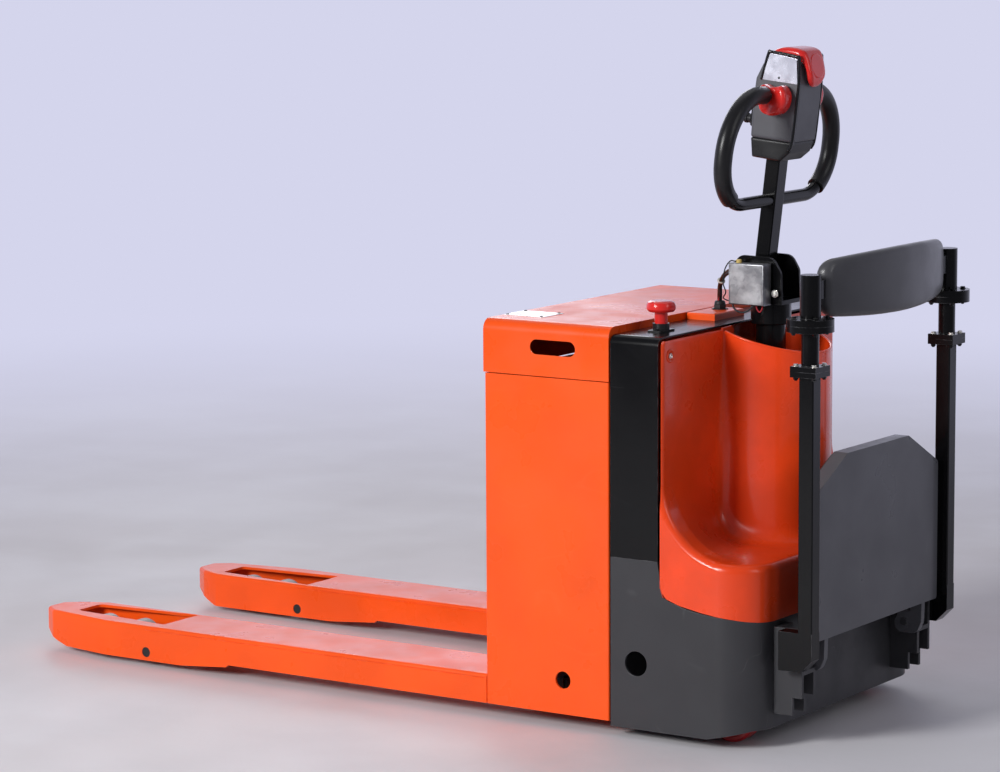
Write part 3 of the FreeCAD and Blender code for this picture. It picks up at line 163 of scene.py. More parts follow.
def paint(name, colour, rough, coat, worn, marks=0.06, wear=0.4, mirror=0.26):
    """Sprayed paint: cloudy tone, orange peel, hairline scratches and rubbed edges."""
    finish = Finish(name, coat=coat)
    finish.gloss(mirror, 1.34)
    tone = finish.mix(finish.curve(finish.noise(5, 4), 0.35, 0.65), shade(colour, 0.92),
                      shade(colour, 1.06))
    lines = finish.scratches(3, (1, 6, 2))
    tone = finish.mix(finish.times(lines, marks), tone, worn + (1,))
    tone = finish.mix(finish.times(finish.edges(0.002), wear), tone, worn + (1,))
    finish.colour(tone)
    finish.roughness(finish.noise(11, 4, shift=2), rough * 0.75, rough * 1.3)
    finish.bump(finish.noise(420, 2), ORANGE_PEEL)
    finish.bump(finish.noise(4, 2, shift=7), 0.0012)
    return finish.material


def moulding(name, colour, rough, coat, grain, sheen=0.0):
    """Moulded plastic or rubber: fine pebble grain, a cloudy tone and light scuffs."""
    finish = Finish(name, coat=coat, sheen=sheen)
    finish.gloss(0.3, 1.36)
    tone = finish.mix(finish.curve(finish.noise(7, 5), 0.35, 0.68), shade(colour, 0.9),
                      shade(colour, 1.12))
    scuff = finish.times(finish.scratches(4, (3, 1, 5), 3.0), 0.03)
    tone = finish.mix(scuff, tone, shade([0.25 + part * 0.6 for part in colour], 1))
    finish.colour(tone)
    finish.roughness(finish.noise(16, 4), rough * 0.85, rough * 1.2)
    finish.bump(finish.cells(900), grain)
    finish.bump(finish.noise(6, 2), 0.0006)
    return finish.material


def metal(name, colour, rough, grain=(1, 1, 1), dirt=0.35, bare=0.92):
    """Bare or plated metal with brushed grain, stains and dull patches."""
    finish = Finish(name, metallic=bare)
    stain = finish.curve(finish.noise(22, 5), 0.45, 0.7)
    tone = finish.mix(finish.times(stain, dirt), shade(colour, 1.05), shade(colour, 0.45))
    finish.colour(tone)
    finish.roughness(finish.noise(30, 4, shift=3), rough * 0.7, rough * 1.4)
    finish.bump(finish.noise(500, 2, grain), BRUSHED)
    return finish.material


def galvanised(name):
    """Zinc-coated sheet with its crystal spangle."""
    finish = Finish(name, metallic=0.95)
    spangle = finish.node("TexVoronoi", {"Vector": finish.place, "Scale": 110.0}).outputs["Color"]
    level = finish.node("SeparateColor", {"Color": spangle}).outputs[0]
    cloud = finish.mix(finish.curve(finish.noise(34, 4), 0.4, 0.62), (0.26, 0.265, 0.28, 1),
                       (0.42, 0.425, 0.44, 1))
    tone = finish.mix(finish.times(level, 0.25), cloud, (0.66, 0.67, 0.69, 1))
    streak = finish.curve(finish.noise(12, 5, (1, 1, 0.3)), 0.5, 0.72)
    finish.colour(finish.mix(finish.times(streak, 0.4), tone, (0.2, 0.2, 0.21, 1)))
    finish.roughness(finish.noise(28, 4, shift=5), 0.3, 0.44)
    finish.bump(level, 0.000006)
    finish.bump(finish.noise(40, 3), 0.0004)
    return finish.material


def tread(name, studs):
    """Dusty black rubber, with raised studs if asked for."""
    finish = Finish(name, sheen=0.1)
    tone = finish.mix(finish.curve(finish.noise(14, 5), 0.4, 0.7), (0.012, 0.012, 0.013, 1),
                      (0.045, 0.043, 0.04, 1))
    finish.colour(tone)
    finish.roughness(finish.noise(25, 4), 0.62, 0.88)
    finish.bump(finish.cells(700), 0.00008)
    if studs:
        grid = finish.node("TexVoronoi", {"Vector": finish.place, "Scale": 70.0, "Randomness": 0.0})
        finish.bump(finish.curve(grid.outputs["Distance"], 0.42, 0.28), 0.0012)
    return finish.material


def cast(name, colour):
    """Rough iron casting under thin paint."""
    finish = Finish(name, metallic=0.25)
    tone = finish.mix(finish.curve(finish.noise(18, 5), 0.4, 0.65), shade(colour, 0.7),
                      shade(colour, 1.25))
    finish.colour(finish.mix(finish.times(finish.edges(0.0015), 0.6), tone, (0.3, 0.29, 0.28, 1)))
    finish.roughness(finish.noise(20, 4), 0.42, 0.66)
    finish.bump(finish.noise(260, 4), 0.0003)
    return finish.material


def make_finishes():
    orange = (0.93, 0.092, 0.006)
    grey_edge = (0.22, 0.22, 0.23)
    return {
        "orange_paint": paint("orange_paint", orange, 0.34, 0.3, (1.0, 0.28, 0.1), 0.04, 0.3),
        "orange_moulding": moulding("orange_moulding", (0.86, 0.062, 0.008), 0.3, 0.55, 0.00001),
        "black_gloss_paint": paint("black_gloss_paint", (0.0035, 0.0035, 0.004), 0.2, 0.22, grey_edge,
                                   0.015, mirror=0.16),
        "black_satin_paint": paint("black_satin_paint", (0.04, 0.04, 0.044), 0.4, 0.08, grey_edge,
                                   0.1, 0.5),
        "black_moulding": moulding("black_moulding", (0.06, 0.06, 0.066), 0.34, 0.15, 0.00003, 0.1),
        "galvanised_steel": galvanised("galvanised_steel"),
        "dark_steel": metal("dark_steel", (0.19, 0.185, 0.18), 0.38, (1, 1, 0.05)),
        "motor_black": cast("motor_black", (0.02, 0.02, 0.022)),
        "hub_iron": cast("hub_iron", (0.11, 0.105, 0.1)),
        "black_tread": tread("black_tread", False),
        "caster_red": moulding("caster_red", (0.42, 0.016, 0.02), 0.36, 0.2, 0.00002),
        "roller_grey": moulding("roller_grey", (0.3, 0.31, 0.32), 0.42, 0.0, 0.00003),
        "grip_rubber": moulding("grip_rubber", (0.008, 0.008, 0.009), 0.36, 0.05, 0.00004, 0.03),
        "head_grey": moulding("head_grey", (0.09, 0.091, 0.102), 0.42, 0.04, 0.00006),
        "control_red": moulding("control_red", (0.68, 0.022, 0.018), 0.22, 0.6, 0.0),
        "black_plastic": moulding("black_plastic", (0.014, 0.014, 0.015), 0.3, 0.1, 0.00002),
        "battery_grey": moulding("battery_grey", (0.2, 0.205, 0.21), 0.5, 0.0, 0.00003),
        "mat_studs": tread("mat_studs", True),
        # The tray has the base's black satin paint, painted lighter and bluish: a painted reflection of the
        # backdrop it faces.
        "tray_paint_painted_lighter": paint("tray_paint_painted_lighter", (0.085, 0.086, 0.096), 0.34, 0.12, grey_edge, 0.04, 0.4),
        "zinc": metal("zinc", (0.72, 0.7, 0.66), 0.3, dirt=0.3),
        # The head plates' pale lavender base colour is a painted reflection of the bright backdrop.
        "plate_with_painted_reflection": metal("plate_with_painted_reflection", (0.58, 0.59, 0.68), 0.26, dirt=0.1, bare=0.35),
        "name_plate": metal("name_plate", (0.8, 0.8, 0.82), 0.34, (1, 0.05, 1), 0.15, bare=0.5),
        "seal_gloss": moulding("seal_gloss", (0.008, 0.008, 0.009), 0.12, 0.5, 0.0),
        "wire_brown": moulding("wire_brown", (0.06, 0.022, 0.012), 0.35, 0.1, 0.0),
        "wire_red": moulding("wire_red", (0.4, 0.02, 0.03), 0.4, 0.1, 0.0),
        "tie_white": moulding("tie_white", (0.6, 0.58, 0.52), 0.4, 0.1, 0.0),
        "cap_yellow": moulding("cap_yellow", (0.55, 0.4, 0.12), 0.4, 0.1, 0.0),
        "plug_black": moulding("plug_black", (0.02, 0.02, 0.022), 0.45, 0.0, 0.00002),
    }


# ---------------------------------------------------------------- shaping helpers

LINE_PARTS = 6
CREASE_ANGLE = math.radians(32)
BEVEL_ANGLE = math.radians(38)
FLAT_ANGLE = math.radians(0.5)
CAD_EDGE = 0.0008
WELD_GAP = 0.00001
TIP = 0.01  # the radius that closes a turned profile at its axis


class Shape:
    """Collects the geometry of one piece, in millimetres, through a placing matrix."""

    def __init__(self, place=TRUCK):
        self.mesh = bmesh.new()
        self.place = place

    def ring(self, points):
        return [self.mesh.verts.new(self.place @ Vector(point)) for point in points]

    def skin(self, rings):
        """Joins rings of equal count with quads and closes both ends."""
        count = len(rings[0])
        for first, second in zip(rings, rings[1:]):
            for i in range(count):
                j = (i + 1) % count
                self.mesh.faces.new((first[i], first[j], second[j], second[i]))
        self.mesh.faces.new(list(reversed(rings[0])))
        self.mesh.faces.new(rings[-1])

    def lathe(self, profile, centre, axis=(0, 0, 1), steps=40, phase=0.0):
        """Turns a profile of (radius, height) about an axis; 6 steps make a hexagon."""
        turn = Vector((0, 0, 1)).rotation_difference(Vector(axis)).to_matrix()
        rings = []
        for radius, height in profile:
            points = []
            for step in range(steps):
                angle = phase + step * math.tau / steps
                spot = Vector((radius * math.cos(angle), radius * math.sin(angle), height))
                points.append(Vector(centre) + turn @ spot)
            rings.append(self.ring(points))
        self.skin(rings)

    def tube(self, points, radius, sides):
        """Sweeps a circle along a smooth line through points."""
        line = smooth_line(points)
        ahead = (line[1] - line[0]).normalized()
        side = ahead.orthogonal().normalized()
        rings = []
        for number, spot in enumerate(line):
            before, after = line[max(0, number - 1)], line[min(len(line) - 1, number + 1)]
            now = (after - before).normalized()
            side = (ahead.rotation_difference(now) @ side).normalized()
            ahead, up = now, now.cross(side)
            rings.append(self.ring(spot + radius * (math.cos(a) * side + math.sin(a) * up)
                                   for a in (k * math.tau / sides for k in range(sides))))
        self.skin(rings)

    def slab(self, outline, low, high, axis="Y"):
        """Extrudes an outline. Its two numbers are the coordinates other than the axis's."""
        def spot(pair, level):
            values = list(pair)
            values.insert("XYZ".index(axis), level)
            return values
        self.skin([self.ring(spot(pair, level) for pair in outline) for level in (low, high)])

    def piece(self, name, finish, body, slot=None, bevel=0.0):
        bmesh.ops.recalc_face_normals(self.mesh, faces=self.mesh.faces)
        data = bpy.data.meshes.new(name)
        self.mesh.to_mesh(data)
        self.mesh.free()
        return settle(name, data, finish, body, bevel)


def settle(name, data, finish, body, bevel=0.0):
    """Makes a mesh into a piece with a finish. It rides on a body, or is left unattached if that is None."""
    thing = bpy.data.objects.new(name, data)
    bpy.context.collection.objects.link(thing)
    data.materials.append(FINISHES[finish])
    data.polygons.foreach_set("use_smooth", [True] * len(data.polygons))
    if bevel:
        round_edges(thing, bevel)
    if body:
        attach(thing, body)
    return thing


def smooth_line(points):
    """A smooth line through points."""
    points = [Vector(point) for point in points]
    padded = [2 * points[0] - points[1]] + points + [2 * points[-1] - points[-2]]
    line = []
    for a, b, c, d in zip(padded, padded[1:], padded[2:], padded[3:]):
        for step in range(LINE_PARTS):
            t = step / LINE_PARTS
            line.append(0.5 * (2 * b + (c - a) * t + (2 * a - 5 * b + 4 * c - d) * t * t
                               + (3 * b - a - 3 * c + d) * t * t * t))
    return line + [points[-1]]


def sharp_by_angle():
    """A modifier group that keeps creases sharp and the rest smooth."""
    tree = bpy.data.node_groups.new("creases", "GeometryNodeTree")
    tree.interface.new_socket("Geometry", in_out="INPUT", socket_type="NodeSocketGeometry")
    tree.interface.new_socket("Geometry", in_out="OUTPUT", socket_type="NodeSocketGeometry")
    start = tree.nodes.new("NodeGroupInput")
    end = tree.nodes.new("NodeGroupOutput")
    angle = tree.nodes.new("GeometryNodeInputMeshEdgeAngle")
    flat = tree.nodes.new("FunctionNodeCompare")
    flat.operation = "LESS_THAN"
    flat.inputs[1].default_value = CREASE_ANGLE
    smooth = tree.nodes.new("GeometryNodeSetShadeSmooth")
    smooth.domain = "EDGE"
    tree.links.new(angle.outputs["Unsigned Angle"], flat.inputs[0])
    tree.links.new(start.outputs[0], smooth.inputs["Geometry"])
    tree.links.new(flat.outputs[0], smooth.inputs["Shade Smooth"])
    tree.links.new(smooth.outputs[0], end.inputs[0])
    return tree


def round_edges(thing, width):
    """Small rounded edges with clean shading."""
    bevel = thing.modifiers.new("rounding", "BEVEL")
    bevel.width = width
    bevel.segments = 2
    bevel.angle_limit = BEVEL_ANGLE
    bevel.use_clamp_overlap = True
    creases = thing.modifiers.new("creases", "NODES")
    creases.node_group = CREASES
    weighted = thing.modifiers.new("shading", "WEIGHTED_NORMAL")
    weighted.keep_sharp = True


def dress(node, finish):
    """Gives a CAD node small rounded edges and a finish, its record slot's own if that is None."""
    thing = frame["nodes"][node]
    data = thing.data
    if "custom_normal" in data.attributes:
        data.attributes.remove(data.attributes["custom_normal"])
    data.polygons.foreach_set("use_smooth", [True] * len(data.polygons))
    for holder in thing.material_slots:
        holder.material = FINISHES[finish or holder.material.name.split(".")[0]]
    weld = thing.modifiers.new("weld", "WELD")
    weld.merge_threshold = WELD_GAP
    flat = thing.modifiers.new("flat faces", "DECIMATE")
    flat.decimate_type = "DISSOLVE"
    flat.angle_limit = FLAT_ANGLE
    round_edges(thing, CAD_EDGE)


# ---------------------------------------------------------------- solid fields, in millimetres

SHARPEST = 0.35
CORNER_CUTS = 2
DRAWS = 3
NUDGE = 0.05


def round_union(a, b, radius):
    near_a, near_b = np.maximum(radius - a, 0), np.maximum(radius - b, 0)
    return np.maximum(radius, np.minimum(a, b)) - np.hypot(near_a, near_b)


def round_common(a, b, radius):
    near_a, near_b = np.maximum(radius + a, 0), np.maximum(radius + b, 0)
    return np.minimum(-radius, np.maximum(a, b)) + np.hypot(near_a, near_b)


def outline_field(points, a, b):
    """Distance to a closed outline, negative inside."""
    nearest = np.full(np.shape(a), 1e12)
    inside = np.zeros(np.shape(a), bool)
    for (a0, b0), (a1, b1) in zip(points, points[1:] + points[:1]):
        da, db = a1 - a0, b1 - b0
        along = np.clip(((a - a0) * da + (b - b0) * db) / (da * da + db * db), 0, 1)
        nearest = np.minimum(nearest, (a - a0 - along * da) ** 2 + (b - b0 - along * db) ** 2)
        if abs(db) > 1e-9:
            crossing = (b0 > b) != (b1 > b)
            inside ^= crossing & (a < a0 + (b - b0) * da / db)
    return np.where(inside, -1, 1) * np.sqrt(nearest)


def inset(points, amount):
    """The outline moved inwards, corner by corner."""
    area = sum(p[0] * q[1] - q[0] * p[1] for p, q in zip(points, points[1:] + points[:1]))
    turn = 1 if area > 0 else -1
    moved = []
    for before, here, after in zip(points[-1:] + points[:-1], points, points[1:] + points[:1]):
        first = (Vector(here) - Vector(before)).normalized()
        second = (Vector(after) - Vector(here)).normalized()
        inward = turn * Vector((-first.y - second.y, first.x + second.x))
        inward.normalize()
        across = turn * Vector((-first.y, first.x))
        spot = Vector(here) + inward * amount / max(SHARPEST, inward.dot(across))
        moved.append((spot.x, spot.y))
    return moved


def softened(points):
    """The outline with its corners cut again and again, towards a smooth curve."""
    for _ in range(CORNER_CUTS):
        cut = []
        for (a0, b0), (a1, b1) in zip(points, points[1:] + points[:1]):
            cut.append((0.78 * a0 + 0.22 * a1, 0.78 * b0 + 0.22 * b1))
            cut.append((0.22 * a0 + 0.78 * a1, 0.22 * b0 + 0.78 * b1))
        points = cut
    return points


def rounded_outline(points, radius, a, b):
    return outline_field(inset(points, radius), a, b) - radius


def surface(field, low, high, step):
    """Vertices and quads on the field's zero surface, left open where the grid ends."""
    axes = [np.arange(low[i], high[i] + step, step) for i in range(3)]
    value = field(*np.meshgrid(*axes, indexing="ij"))
    shape = tuple(size - 1 for size in value.shape)
    total, count = np.zeros(shape + (3,)), np.zeros(shape)
    crossings = []
    for k in range(3):
        p, q = [axis for axis in range(3) if axis != k]
        first = np.take(value, range(shape[k]), k)
        second = np.take(value, range(1, shape[k] + 1), k)
        cross = (first < 0) != (second < 0)
        part = np.where(cross, first / np.where(cross, first - second, 1), 0)
        crossings.append((k, p, q, cross, first < 0))
        for dp in (0, 1):
            for dq in (0, 1):
                window = [slice(None)] * 3
                window[p], window[q] = slice(dp, dp + shape[p]), slice(dq, dq + shape[q])
                hit = cross[tuple(window)]
                count += hit
                total[..., k] += part[tuple(window)]
                total[..., p] += hit * dp
                total[..., q] += hit * dq
    used = count > 0
    number = np.cumsum(used.ravel()).reshape(shape) - 1
    corners = np.argwhere(used) + total[used] / count[used][:, None]
    points = np.array(low) + corners * step
    faces = []
    for k, p, q, cross, inside in crossings:
        window = [slice(None)] * 3
        window[p], window[q] = slice(1, shape[p]), slice(1, shape[q])
        found = np.argwhere(cross[tuple(window)])
        if not len(found):
            continue
        found[:, p] += 1
        found[:, q] += 1
        around = []
        for dp, dq in ((1, 1), (0, 1), (0, 0), (1, 0)):
            cell = found.copy()
            cell[:, p] -= dp
            cell[:, q] -= dq
            around.append(number[tuple(cell.T)])
        quads = np.stack(around, 1)
        outward = inside[tuple(found.T)] ^ (k == 1)
        quads[~outward] = quads[~outward][:, ::-1]
        faces.append(quads)
    return points, np.concatenate(faces)


def on_surface(field, points):
    """Draws points onto the field's zero surface."""
    for _ in range(DRAWS):
        value = field(*points.T)
        slope = np.stack([(field(*(points + NUDGE * unit).T) - value) / NUDGE
                          for unit in np.eye(3)], 1)
        length = np.maximum(np.sum(slope * slope, 1), 0.2)
        points = points - slope * np.clip(value / length, -2, 2)[:, None]
    return points


def solid(name, field, low, high, step, place=TRUCK):
    """A mesh of a solid field."""
    points, faces = surface(field, low, high, step)
    points = on_surface(field, points)
    data = bpy.data.meshes.new(name)
    data.from_pydata([place @ Vector(point) for point in points], [], faces.tolist())
    return data


# ---------------------------------------------------------------- hood

HOOD_SKIRT = [(387, 307), (398, 278), (435, 266), (479, 258), (543, 250), (594, 241)]
STEER = 437.0
BULGE = 117.0
RIM = (428.5, 746.8)
RIM_FALL = 0.262
WING_TOP = 759.5
WING_FACE = 395.0
SHELF = 352.0
HALF_WIDTH = 338.5
SHELF_NOSE = 592
SHELF_FALL = 0.045
PLAN_CORNER = 85
HOOD_TOP = 760.5
HOOD_BACK = 391.4
SHEET = 0.0036
FINE = 1e-7


def hood_field(x, y, z):
    """The hood's outside: side wings, a foot shelf and the round bulge over the drive unit."""
    shelf = (z - SHELF + SHELF_FALL * (x - 535))
    curve = 72 + 63 * np.clip((np.abs(y) - 150) / 140, 0, 1)
    body = round_union(x - WING_FACE, shelf, curve)
    bulge = np.hypot(x - STEER, y) - BULGE
    fillet = 32 - 26 * np.clip((z - 545) / 190, 0, 1)
    body = round_union(body, bulge, fillet)
    across, ahead = np.abs(y) - HALF_WIDTH + PLAN_CORNER, x - SHELF_NOSE + PLAN_CORNER
    plan = (np.hypot(np.maximum(across, 0), np.maximum(ahead, 0))
            + np.minimum(np.maximum(across, ahead), 0) - PLAN_CORNER)
    top_corner = round_common(np.abs(y) - HALF_WIDTH, z - HOOD_TOP, 16)
    return np.maximum(round_common(body, plan, 15), top_corner)


def keep_side(mesh, faces, point, normal):
    """Cuts faces with a plane and drops what lies on the normal's side, in the same order each run."""
    edges = dict.fromkeys(edge for face in faces for edge in face.edges)
    verts = dict.fromkeys(vert for face in faces for vert in face.verts)
    bmesh.ops.bisect_plane(mesh, geom=list(faces) + list(edges) + list(verts), dist=FINE,
                           plane_co=TRUCK @ Vector(point), plane_no=normal, clear_outer=True)


def make_hood():
    """The hood as a thin sheet, cut to its skirt line, its wing tops and the bulge's sloped rim."""
    data = solid("hood_moulding", hood_field, (382, -342, 200), (598, 342, 772), 4.0)
    mesh = bmesh.new()
    mesh.from_mesh(data)
    keep_side(mesh, mesh.faces[:], (HOOD_BACK, 0, 0), Vector((-1, 0, 0)))
    for x in [WING_FACE + 3] + [x for x, _ in HOOD_SKIRT[1:-1]]:
        everything = mesh.verts[:] + mesh.edges[:] + mesh.faces[:]
        bmesh.ops.bisect_plane(mesh, geom=everything, dist=FINE, plane_co=TRUCK @ Vector((x, 0, 0)),
                               plane_no=(1, 0, 0))
    border = (TRUCK @ Vector((WING_FACE + 3, 0, 0))).x
    wings = [face for face in mesh.faces if face.calc_center_median().x < border]
    keep_side(mesh, wings, (0, 0, WING_TOP), Vector((0, 0, 1)))
    cup = [face for face in mesh.faces if face.calc_center_median().x > border]
    keep_side(mesh, cup, (RIM[0], 0, RIM[1]), Vector((RIM_FALL, 0, 1)).normalized())
    for (x0, z0), (x1, z1) in zip(HOOD_SKIRT, HOOD_SKIRT[1:]):
        low, high = (TRUCK @ Vector((x0, 0, 0))).x, (TRUCK @ Vector((x1, 0, 0))).x
        faces = [face for face in mesh.faces if low < face.calc_center_median().x < high]
        keep_side(mesh, faces, (x0, 0, z0), Vector((z1 - z0, 0, x0 - x1)).normalized())
    loose = [vert for vert in mesh.verts if not vert.link_faces]
    bmesh.ops.delete(mesh, geom=loose, context="VERTS")
    bmesh.ops.recalc_face_normals(mesh, faces=mesh.faces)
    mesh.to_mesh(data)
    mesh.free()
    hood = settle("hood_moulding", data, "orange_moulding", "chassis")
    sheet = hood.modifiers.new("sheet", "SOLIDIFY")
    sheet.thickness = SHEET
    sheet.offset = -1
    round_edges(hood, 0.0009)
    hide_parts("hood")


def make_hood_trim():
    """Inner wing plates beside the column, the bulge's rolled rim, and the hood's screws."""
    plates = Shape()
    rim = Shape()
    for sign in SIDES.values():
        outline = [(sign * 68, 470), (sign * 122, 470), (sign * 122, 751), (sign * 112, 762),
                   (sign * 76, 763), (sign * 69, 756)]
        plates.slab(outline, 391.6, 394.8, "X")
    plates.piece("hood_inner_wings", "orange_moulding", "chassis", None, 0.0008)
    radius = BULGE - 1.8
    points = []
    for step in range(-66, 67):
        angle = math.radians(step * 1.66)
        x = STEER + radius * math.cos(angle)
        points.append((x, radius * math.sin(angle), RIM[1] - RIM_FALL * (x - RIM[0])))
    rim.tube(points, 2.6, 10)
    rim.piece("hood_rim", "orange_moulding", "chassis")
    recess, screws = Shape(), Shape()
    for sign in SIDES.values():
        recess.lathe([(TIP, 0.5), (8.4, 0.5), (9.4, 2.0), (10.8, 2.7), (12.4, 2.0), (13.0, 0)],
                     (394.6, sign * 307, 730), (1, 0, 0), 40)
        screws.lathe([(TIP, 0.5), (5.6, 0.5), (5.8, 1.4), (4.6, 3.0), (2.8, 3.2), (2.6, 1.8), (TIP, 1.7)],
                     (394.8, sign * 307, 730), (1, 0, 0), 24)
        screws.lathe([(TIP, 0), (4.4, 0), (4.4, 1.6), (TIP, 1.7)], (394.8, sign * 100, 728), (1, 0, 0), 6)
    recess.piece("hood_screw_recesses", "orange_moulding", "chassis")
    screws.piece("hood_screws", "zinc", "chassis", "dark_steel")


# ---------------------------------------------------------------- soft and moulded parts

PAD_HIGH = 865
PAD_CENTRE = 20
PAD_ARC = 693.5
PAD_HALF = 234.5


def pad_field(x, y, z):
    """The backrest: a bent, crowned cushion with full edges."""
    share = np.clip(y / 235, -1, 1)
    half_height = 51.5 + 10 * (1 - share * share)
    level = np.clip((z - PAD_HIGH) / half_height, -1, 1)
    half_thick = 16.2 - 4.2 * level ** 4 - 2.5 * share ** 6
    depth = np.abs(np.hypot(x - PAD_CENTRE, y) - PAD_ARC) - half_thick
    face = round_common(np.abs(z - PAD_HIGH) - half_height, np.abs(y) - PAD_HALF, 27)
    return round_common(depth, face, 10)


def make_backrest():
    data = solid("backrest_cushion", pad_field, (640, -240, 798), (735, 240, 932), 4.0)
    pad = settle("backrest_cushion", data, "black_moulding", "chassis")
    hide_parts("backrest_pad")


HEAD_SIDE = [(-40, 259), (-43, 330), (-42, 372), (-30, 402), (0, 409), (12, 410), (44, 405), (54, 372),
             (55, 340), (54, 261)]
HEAD_FOOT = [(-40, 260), (54, 263), (46, 240), (28, 222), (-33, 222)]
CAP_SIDE = [(-20, 421), (-12, 431), (8, 438), (36, 439), (54, 433), (70, 392), (67, 374), (61, 366),
            (57, 372), (56.5, 400), (44, 417), (10, 421)]
CAP_CURVE = softened(CAP_SIDE)
THROTTLE_SIDE = [(-18, 355), (-10, 367), (0, 364), (8, 362), (18, 365), (31, 370), (45, 352),
                 (43, 328), (29, 311), (0, 308), (-13, 320)]
THROTTLE_CURVE = softened(THROTTLE_SIDE)
LOOP_HIGH = 346.5
LOOP_BORE = 13.4
HEAD_HALF = 45
SEAL_Y = 44.0
PLATE_Y = (44.2, 45.25)
KNOB_Y = 13


def head_field(x, y, z):
    side = rounded_outline(HEAD_SIDE, 5, x, z)
    body = round_common(side, np.abs(y) - HEAD_HALF, 6)
    pockets = round_common(np.maximum(x + 28, np.abs(z - 297) - 21), np.abs(np.abs(y) - KNOB_Y) - 11, 2)
    bore = LOOP_BORE - np.hypot(x, z - LOOP_HIGH)
    return np.maximum(np.maximum(body, -pockets), bore)


def head_foot_field(x, y, z):
    body = round_common(rounded_outline(HEAD_FOOT, 4, x, z), np.abs(y) - 44.4, 5)
    socket = np.maximum(np.maximum(np.abs(x) - 15.2, np.abs(y) - 18.2), z - 236)
    return np.maximum(body, -socket)


def cap_field(x, y, z):
    drop = np.clip((406 - z) / 42, 0, 0.985)
    width = (38 - 5 * np.clip((x - 40) / 25, 0, 1)) * np.sqrt(1 - drop * drop)
    return round_common(outline_field(CAP_CURVE, x, z), np.abs(y) - width, 9)


def cap_face_field(x, y, z):
    """The flat oval that the operator's belly meets."""
    ahead = (x - 62.3) * 0.947 + (z - 408) * 0.322
    drop = ((z - 408) * 0.947 - (x - 62.3) * 0.322) / 24
    oval = (np.sqrt(drop ** 2 + (y / 25) ** 2) - 1) * 24
    return round_common(np.abs(ahead) - 1.5, oval, 1.4)


def throttle_field(x, y, z):
    groove = 5 * np.exp(-((x - 12 - (z - 340) * 0.35) / 9) ** 2)
    inner, outer = 45.4 - np.abs(y), np.abs(y) - 79 + groove
    wheel = round_common(outline_field(THROTTLE_CURVE, x, z), np.maximum(inner, outer), 8)
    return np.maximum(wheel, LOOP_BORE - np.hypot(x, z - LOOP_HIGH - 0.2))


def make_head():
    shell = solid("head_moulding", head_field, (-50, -50, 250), (62, 50, 418), 2.0, TILLER)
    shell = settle("head_moulding", shell, "head_grey", "tiller")
    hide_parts("head_shell")
    foot = solid("head_foot", head_foot_field, (-46, -50, 216), (60, 50, 268), 2.0, TILLER)
    foot = settle("head_foot", foot, "head_grey", "tiller")
    foot.data.materials[0] = FINISHES["black_plastic"]
    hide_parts("head_base")
    cap = solid("belly_cap", cap_field, (-28, -46, 348), (78, 46, 446), 2.0, TILLER)
    cap = settle("belly_cap", cap, "control_red", "reverse_button")
    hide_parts("belly_button")
    face = solid("belly_face", cap_face_field, (50, -32, 376), (80, 32, 440), 1.4, TILLER)
    settle("belly_face", face, "control_red", "reverse_button")
    for side, sign in SIDES.items():
        low, high = sorted((sign * 40, sign * 84))
        wheel = solid("throttle_wheel_" + side, throttle_field, (-28, low, 300), (54, high, 378), 1.4,
                      TILLER)
        wheel = settle("throttle_wheel_" + side, wheel, "control_red", "throttle_grip_" + side)
        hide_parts("throttle_" + side)


def make_head_trim():
    """The head's side plates with their edge seal, and the raise and lower knobs."""
    plate = Shape(TILLER)
    outline = [(-28, 371.5), (-17, 420.5), (-14, 423), (39, 420), (42, 418), (49, 372.5)]
    for sign in SIDES.values():
        plate.slab(outline, sign * PLATE_Y[0], sign * PLATE_Y[1])
    # The plates' colour carries a painted reflection of the backdrop.
    plate.piece("head_side_plates", "plate_with_painted_reflection", "tiller", "galvanised_steel", 0.0005)
    seal = Shape(TILLER)
    for sign in SIDES.values():
        y = sign * SEAL_Y
        seal.tube([(-29, y, 371), (-20, y, 421), (-13, y, 425.5), (40, y, 424), (47, y, 420),
                   (51.6, y, 374), (52.0, y, 330), (51.4, y, 264), (45.5, y, 245)], 3.1, 12)
        seal.lathe([(2.2, 0), (2.2, 0.9), (1.4, 1.2)], (8.5, sign * 45.1, 379.5), (0, sign, 0), 20)
    seal.piece("head_edge_seal", "seal_gloss", "tiller", "black_plastic")
    knob = [(TIP, 0), (8.5, 0), (9.4, 0.8), (9.4, 4.6), (7.6, 5.6), (7.6, 8), (9.8, 9.4), (9.8, 14.6),
            (8.4, 16.4), (TIP, 17)]
    for name, body, side in (("raise_knob", "raise_button", -KNOB_Y), ("lower_knob", "drop_button", KNOB_Y)):
        cap = Shape(TILLER)
        cap.lathe(knob, (-55.6, side, 290), (-1, 0, 0), 28)
        cap.piece(name, "plug_black", body, "black_plastic", 0.0004)


# ---------------------------------------------------------------- hardware

FLANGE_X = 673.6
FLANGE_Y = 276.4
SQUARE_SCREW, SQUARE_LOW, SQUARE_HIGH = 19, 708, 728
ROUND_SCREW, ROUND_LOW, ROUND_HIGH = 22.5, 791, 815


def hex_screw(head, nut, x, y, low, high, phase):
    """A hexagon screw with washers and a nut, from below one flange to above the other."""
    head.lathe([(TIP, 0), (6.2, 0), (6.4, 0.3), (6.2, 0.9), (TIP, 0.9)], (x, y, high), steps=32)
    head.lathe([(4.2, 0), (4.8, 0.4), (4.8, 2.8), (4.4, 3.4), (TIP, 3.5)], (x, y, high + 0.9), steps=6,
               phase=phase)
    nut.lathe([(TIP, 0), (5.6, 0), (5.8, 0.3), (5.6, 0.8), (TIP, 0.8)], (x, y, low - 0.8), steps=32)
    nut.lathe([(TIP, 0), (4.5, 0), (4.9, 0.5), (4.9, 3.5), (4.5, 3.8), (TIP, 3.8)],
              (x, y, low - 4.6), steps=6, phase=phase + 0.4)
    nut.lathe([(TIP, 0), (2.5, 0), (2.9, 0.4), (2.9, 2.0), (TIP, 2.0)], (x, y, low - 6.5), steps=24)


